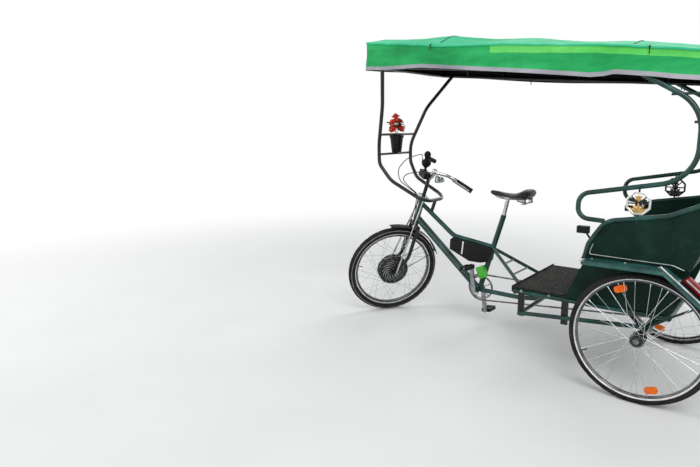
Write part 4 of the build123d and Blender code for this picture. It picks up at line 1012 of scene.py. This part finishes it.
low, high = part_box("flower_pot")
tall = high.z - low.z
pot = turned("flower_pot_tapered", [
    (0, 0), (0.033, 0), (0.035, 0.003), (0.0475, tall - 0.014), (0.052, tall - 0.014), (0.052, tall),
    (0.047, tall), (0.0455, tall - 0.01), (0, tall - 0.012)], shifted((low.x + high.x) / 2, 0, low.z), 40)
fitted(pot, "chassis", "pot_plastic", "flower_pot", 30)


# ---- emblems, lamps and small fittings ----

def leaf_ray(length, wide, lift, place):
    """One pointed leaf of the emblem's spray, with a raised middle."""
    piece = grid("ray", 4, 8)
    for vertex in piece.data.vertices:
        u, v = vertex.co.x, (vertex.co.y + 1) / 2
        spread = wide * sin(pi * min(1.0, 0.08 + 0.92 * v)) ** 0.8
        vertex.co = (u * spread + lift * v * v, v * length, 0.0022 * (1 - u * u) * sin(pi * v) + 0.001)
    return settled(worked(piece, "SOLIDIFY", thickness=0.0016, offset=0), place)


def side_emblem(side, sign):
    """An eight-sided ring on its peg, with a gold spray of leaves on its outer face and plain bars behind."""
    place = axes(spot(0.057, sign * 0.46, 0.986), Vector((-sign, 0, 0)), Vector((0, 0, 1)), Vector((0, sign, 0)))
    inner, outer, behind = 0.049, 0.052, -0.0035
    ring = turned("ring", [(inner, -0.004), (0.057, -0.004), (0.0595, -0.0025), (0.0595, 0.0025), (0.057, 0.004),
                           (0.0515, 0.0045), (inner, 0.003), (inner, -0.004)], spun(pi / 8), 8)
    bars = []
    for angle in (0, pi / 4, 3 * pi / 4):
        x, y = outer * cos(angle), outer * sin(angle)
        bars.append(rod("bar", (-x, -y, behind), (x, y, behind), 0.0035, 10))
    boss = turned("boss", [(0, -0.0095), (0.01, -0.009), (0.016, -0.006), (0.016, -0.001), (0, -0.001)], steps=24)
    pegs = [rod("peg", (0, start, -0.001), (0, end, -0.001), 0.0045, 12)
            for start, end in ((-0.098, -outer), (outer, 0.089))]
    fitted(settled(united(f"emblem_bars_{side}", [*bars, boss, *pegs]), place), "chassis", "black_enamel",
           "side_emblems" if side == "left" else None, 30)
    settled(ring, place)
    ring.name = ring.data.name = f"emblem_ring_{side}"
    fitted(ring, "chassis", ["emblem_silver", "black_enamel"], edge=30,
           coloured=lambda face: face.normal.y * sign < -0.5)
    foot, seed = shifted(0, -0.047, 0), shifted(0, 0.026, 0)
    leaves = [leaf_ray(length, wide, lift, foot @ spun(-lean)) for lean, length, wide, lift in (
        (0, 0.05, 0.0075, 0), (0.42, 0.05, 0.0065, 0.008), (-0.42, 0.05, 0.0065, -0.008),
        (0.85, 0.052, 0.006, 0.012), (-0.85, 0.052, 0.006, -0.012),
        (1.2, 0.034, 0.0045, 0.008), (-1.2, 0.034, 0.0045, -0.008))]
    leaves += [leaf_ray(0.018, 0.0052, 0.0, seed @ turn) for turn in round_about(6)]
    leaves.append(turned("seed", [(0, 0.0055), (0.003, 0.005), (0.0045, 0.003), (0.0045, 0.0008), (0, 0.0008)],
                         seed, 16))
    fitted(settled(united(f"emblem_spray_{side}", leaves), place), "chassis", ["emblem_gold", "black_enamel"],
           edge=50, coloured=lambda face: face.normal.y * sign < -0.3)


def rear_lamp(side, sign):
    """A long red rear lamp on the fender's slope: black base, red lens with a raised edge, and a pale strip along the
    lens's outer side as a painted highlight.
    """
    slope = Vector((-0.285 + 0.092, 0, 0.530 - 0.693)).normalized()
    up = Vector((0, 1, 0)).cross(slope)
    if up.z < 0:
        up = -up
    place = axes(spot(-0.092, sign * 0.495, 0.693) + slope * 0.14, slope, up.cross(slope), up)
    base = settled(block("lamp_base", (0.12, 0.052, 0.012), shifted(0, 0, 0.006), 0.003), place)
    fitted(base, "chassis", "black_plastic", "rear_lamps" if side == "left" else None)
    base.name = base.data.name = f"rear_lamp_base_{side}"
    lens = block(f"rear_lamp_lens_{side}", (0.114, 0.046, 0.033), shifted(0, 0, 0.0285), 0.011, 5)
    reshaped(lens, bpy.ops.mesh.inset, lambda face: face.normal.z > 0.9 and face.area > 0.001,
             thickness=0.004, depth=-0.001)
    fitted(settled(lens, place), "chassis", "red_lens", edge=40)
    # A pale strip along the lens's outer side: a painted highlight
    strip = block(f"rear_lamp_painted_highlight_{side}", (0.1, 0.0024, 0.0065), shifted(0, -sign * 0.0232, 0.031), 0.0008)
    fitted(settled(strip, place), "chassis", "pale_lens", edge=40)


def front_lamp(side, sign):
    """The pale lens of a small black box lamp, towards the front."""
    lens = block(f"front_lamp_lens_{side}", (0.005, 0.025, 0.03),
                 Matrix.Translation(spot(0.3275, sign * 0.472, 0.838)), 0.0018)
    fitted(lens, "chassis", "pale_lens", edge=40)


def headlamp_body():
    """The lamp beside the bar: a ribbed bright shell with a rolled rim, and its glass set back in it."""
    place = FORK @ shifted(-0.05, 0.128, 0.768) @ spun(pi / 2, "Y")
    ribs = []
    for step in range(4):
        z, radius = 0.009 + 0.0075 * step, 0.0172 + 0.0021 * step
        ribs += [(radius, z), (radius + 0.0014, z + 0.0012), (radius + 0.0016, z + 0.0036),
                 (radius + 0.0006, z + 0.0045)]
    shell = turned("headlamp_shell", [
        (0, 0), (0.011, 0.0004), (0.0155, 0.003), *ribs, (0.0252, 0.04), (0.0268, 0.044), (0.027, 0.054),
        (0.0262, 0.0575), (0.0248, 0.0578), (0.0238, 0.055), (0.0236, 0.046), (0, 0.045)], place, 44)
    fitted(shell, "fork", "chrome_plate", "headlamp")
    glass = turned("headlamp_glass", [(0, 0.0535), (0.008, 0.0533), (0.016, 0.0522), (0.0235, 0.05),
                                      (0.0235, 0.047), (0, 0.047)], place, 44)
    fitted(glass, "fork", "pale_lens", edge=40)


def saddle_springs():
    """The saddle's two bent rails and the coil springs under its rear."""
    spring_x, spring_y, spring_r, foot = 0.785, 0.056, 0.0125, 0.8835
    wires = []
    for sign in (-1, 1):
        rail = [spot(x, sign * y, z) for x, y, z in (
            (1.008, 0.008, 0.93), (0.975, 0.016, 0.909), (0.93, 0.021, 0.9045), (0.86, 0.022, 0.904),
            (0.81, 0.03, 0.905), (0.785, 0.042, 0.907), (0.772, 0.05, 0.912))]
        wires.append(bent("rail", rail, 0.0034, steps=4))
        coil = []
        for step in range(49):
            angle = tau * step / 12
            coil.append(spot(spring_x + spring_r * cos(angle), sign * spring_y + spring_r * sin(angle),
                             0.884 + 0.032 * step / 48))
        wires.append(bent("coil", coil, 0.0024, steps=2))
        wires.append(rod("seat", spot(spring_x, sign * spring_y, 0.882), spot(spring_x, sign * spring_y, 0.886),
                         0.0145, 20, 0.0008))
    wires.append(rod("bridge", spot(spring_x, -spring_y, foot), spot(spring_x, spring_y, foot), 0.0045, 12))
    wires.append(rod("spring_stay", spot(spring_x, 0.0, foot), spot(0.85, 0.0, 0.893), 0.0045, 12))
    fitted(united("saddle_springs", wires), "chassis", "dull_alloy", edge=45)


def domed_bolts():
    """Domed bolt heads with their washers, on the fenders and along the floor's edge."""
    bolt = turned("bolt", [(0, 0.0046), (0.003, 0.0042), (0.0052, 0.0028), (0.006, 0.001), (0.0085, 0.0009),
                           (0.0088, 0.0), (0.0086, -0.0006), (0, -0.0006)], steps=14)
    floor_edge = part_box("floor_rails")[1].y - 0.0004
    places = []
    for sign in (-1, 1):
        places += [Matrix.Translation(spot(x, sign * 0.478, 0.6935)) for x in (0.245, 0.09, -0.06)]
        places += [facing(spot(x, sign * floor_edge, 0.417), (0, sign, 0)) for x in (0.32, 0.5, 0.66)]
    fitted(repeated("domed_bolts", bolt, places), "chassis", "dull_alloy")


for side, sign in SIDES.items():
    side_emblem(side, sign)
for side, sign in SIDES.items():
    rear_lamp(side, sign)
    front_lamp(side, sign)
headlamp_body()
saddle_springs()
domed_bolts()
battery_stripe = block("battery_stripe", (0.011, 0.0012, 0.088),
                       Matrix.Translation(spot(1.206, 0.0356, 0.553)) @ spun(radians(-6), "Y"), 0.0004, 1)
fitted(battery_stripe, "chassis", "knob_white", edge=40)
edge_knob = turned("edge_knob", [(0, -0.012), (0.006, -0.011), (0.0095, -0.006), (0.0105, 0), (0.0095, 0.006),
                                 (0.006, 0.011), (0, 0.012)], facing(spot(0.297, 0.468, 0.676), (0.5, 1, 0.1)), 20)
fitted(edge_knob, "chassis", "knob_white", edge=60)


# ---- camera, light and floor ----

camera_data = bpy.data.cameras.new("camera")
camera = bpy.data.objects.new("camera", camera_data)
bpy.context.scene.collection.objects.link(camera)
camera_data.lens = 28.746
camera_data.sensor_width = 36
camera_data.clip_start, camera_data.clip_end = 0.05, 200
RIGHT = Vector((-0.77372291, -0.63343573, -0.0105851))
UP = Vector((0.10745678, -0.1476848, 0.98317966))
AHEAD = Vector((0.62434438, -0.75957118, -0.18233408))
camera.matrix_world = axes(Vector((-1.30166, 3.37989, 1.34678)), RIGHT, UP, -AHEAD)
bpy.context.scene.camera = camera

floor = added("floor", bpy.ops.mesh.primitive_plane_add, size=60)
PALE_FROM, PALE_TO = 2.2, 6.5
WHITE = (1, 1, 1, 1)


def either(tree, first, second):
    """The larger of two outputs."""
    return noded(tree, "Math", {0: first, 1: second}, operation="MAXIMUM").outputs["Value"]


def seen_directly(tree):
    """The rays that the camera sends itself or by a mirror-like surface, and all the kinds of ray."""
    rays = noded(tree, "LightPath", {}).outputs
    return either(tree, rays["Is Camera Ray"], rays["Is Glossy Ray"]), rays


pale = Finish("pale_floor")
pale.to("Base Color", pale.ramp(pale.grain(1.5, 4), [(0.3, (0.84, 0.84, 0.83)), (0.7, (0.88, 0.88, 0.87))]))
pale.to("Roughness", pale.span(pale.grain(3), 0.8, 0.95))
distance = pale.node("VectorMath", {0: pale.place}, operation="LENGTH").outputs["Value"]
far = pale.node("MapRange", {"Value": distance, "From Min": PALE_FROM, "From Max": PALE_TO, "To Min": 0.0,
                             "To Max": 1.0}, interpolation_type="SMOOTHSTEP").outputs["Result"]
whitened = pale.node("Math", {0: seen_directly(pale.tree)[0], 1: far}, operation="MULTIPLY").outputs["Value"]
lit = pale.node("Emission", {"Color": WHITE, "Strength": 1.0}).outputs["Emission"]
away = pale.node("MixShader", {0: whitened, 1: pale.shader.outputs["BSDF"], 2: lit}).outputs["Shader"]
pale.tree.links.new(away, pale.tree.nodes["Material Output"].inputs["Surface"])
floor.data.materials.append(pale.material)

world = bpy.data.worlds.new("studio")
bpy.context.scene.world = world
world.use_nodes = True
sky = world.node_tree
direct, rays = seen_directly(sky)
backdrop = sky.nodes["Background"]
backdrop.inputs["Color"].default_value = (0.94, 0.97, 1.0, 1)
backdrop.inputs["Strength"].default_value = 0.5
white = noded(sky, "Background", {"Color": WHITE, "Strength": 1.0})
choice = noded(sky, "MixShader", {"Fac": either(sky, direct, rays["Is Transmission Ray"]),
                                  1: backdrop.outputs[0], 2: white.outputs[0]})
sky.links.new(choice.outputs[0], sky.nodes["World Output"].inputs["Surface"])

for name, place, power in (("key", (-3.2, 4.2, 5.0), 195), ("fill", (4.2, 2.6, 3.6), 80),
                           ("back", (0.5, -5.0, 4.6), 90)):
    lamp = bpy.data.lights.new(name, "AREA")
    lamp.shape, lamp.size, lamp.energy = "DISK", 4.0, power
    stand = bpy.data.objects.new(name, lamp)
    bpy.context.scene.collection.objects.link(stand)
    stand.location = place
    stand.rotation_mode = "QUATERNION"
    stand.rotation_quaternion = (Vector((0, 0, 0.8)) - Vector(place)).to_track_quat("-Z", "Y")

bpy.context.scene.view_settings.view_transform = "Standard"
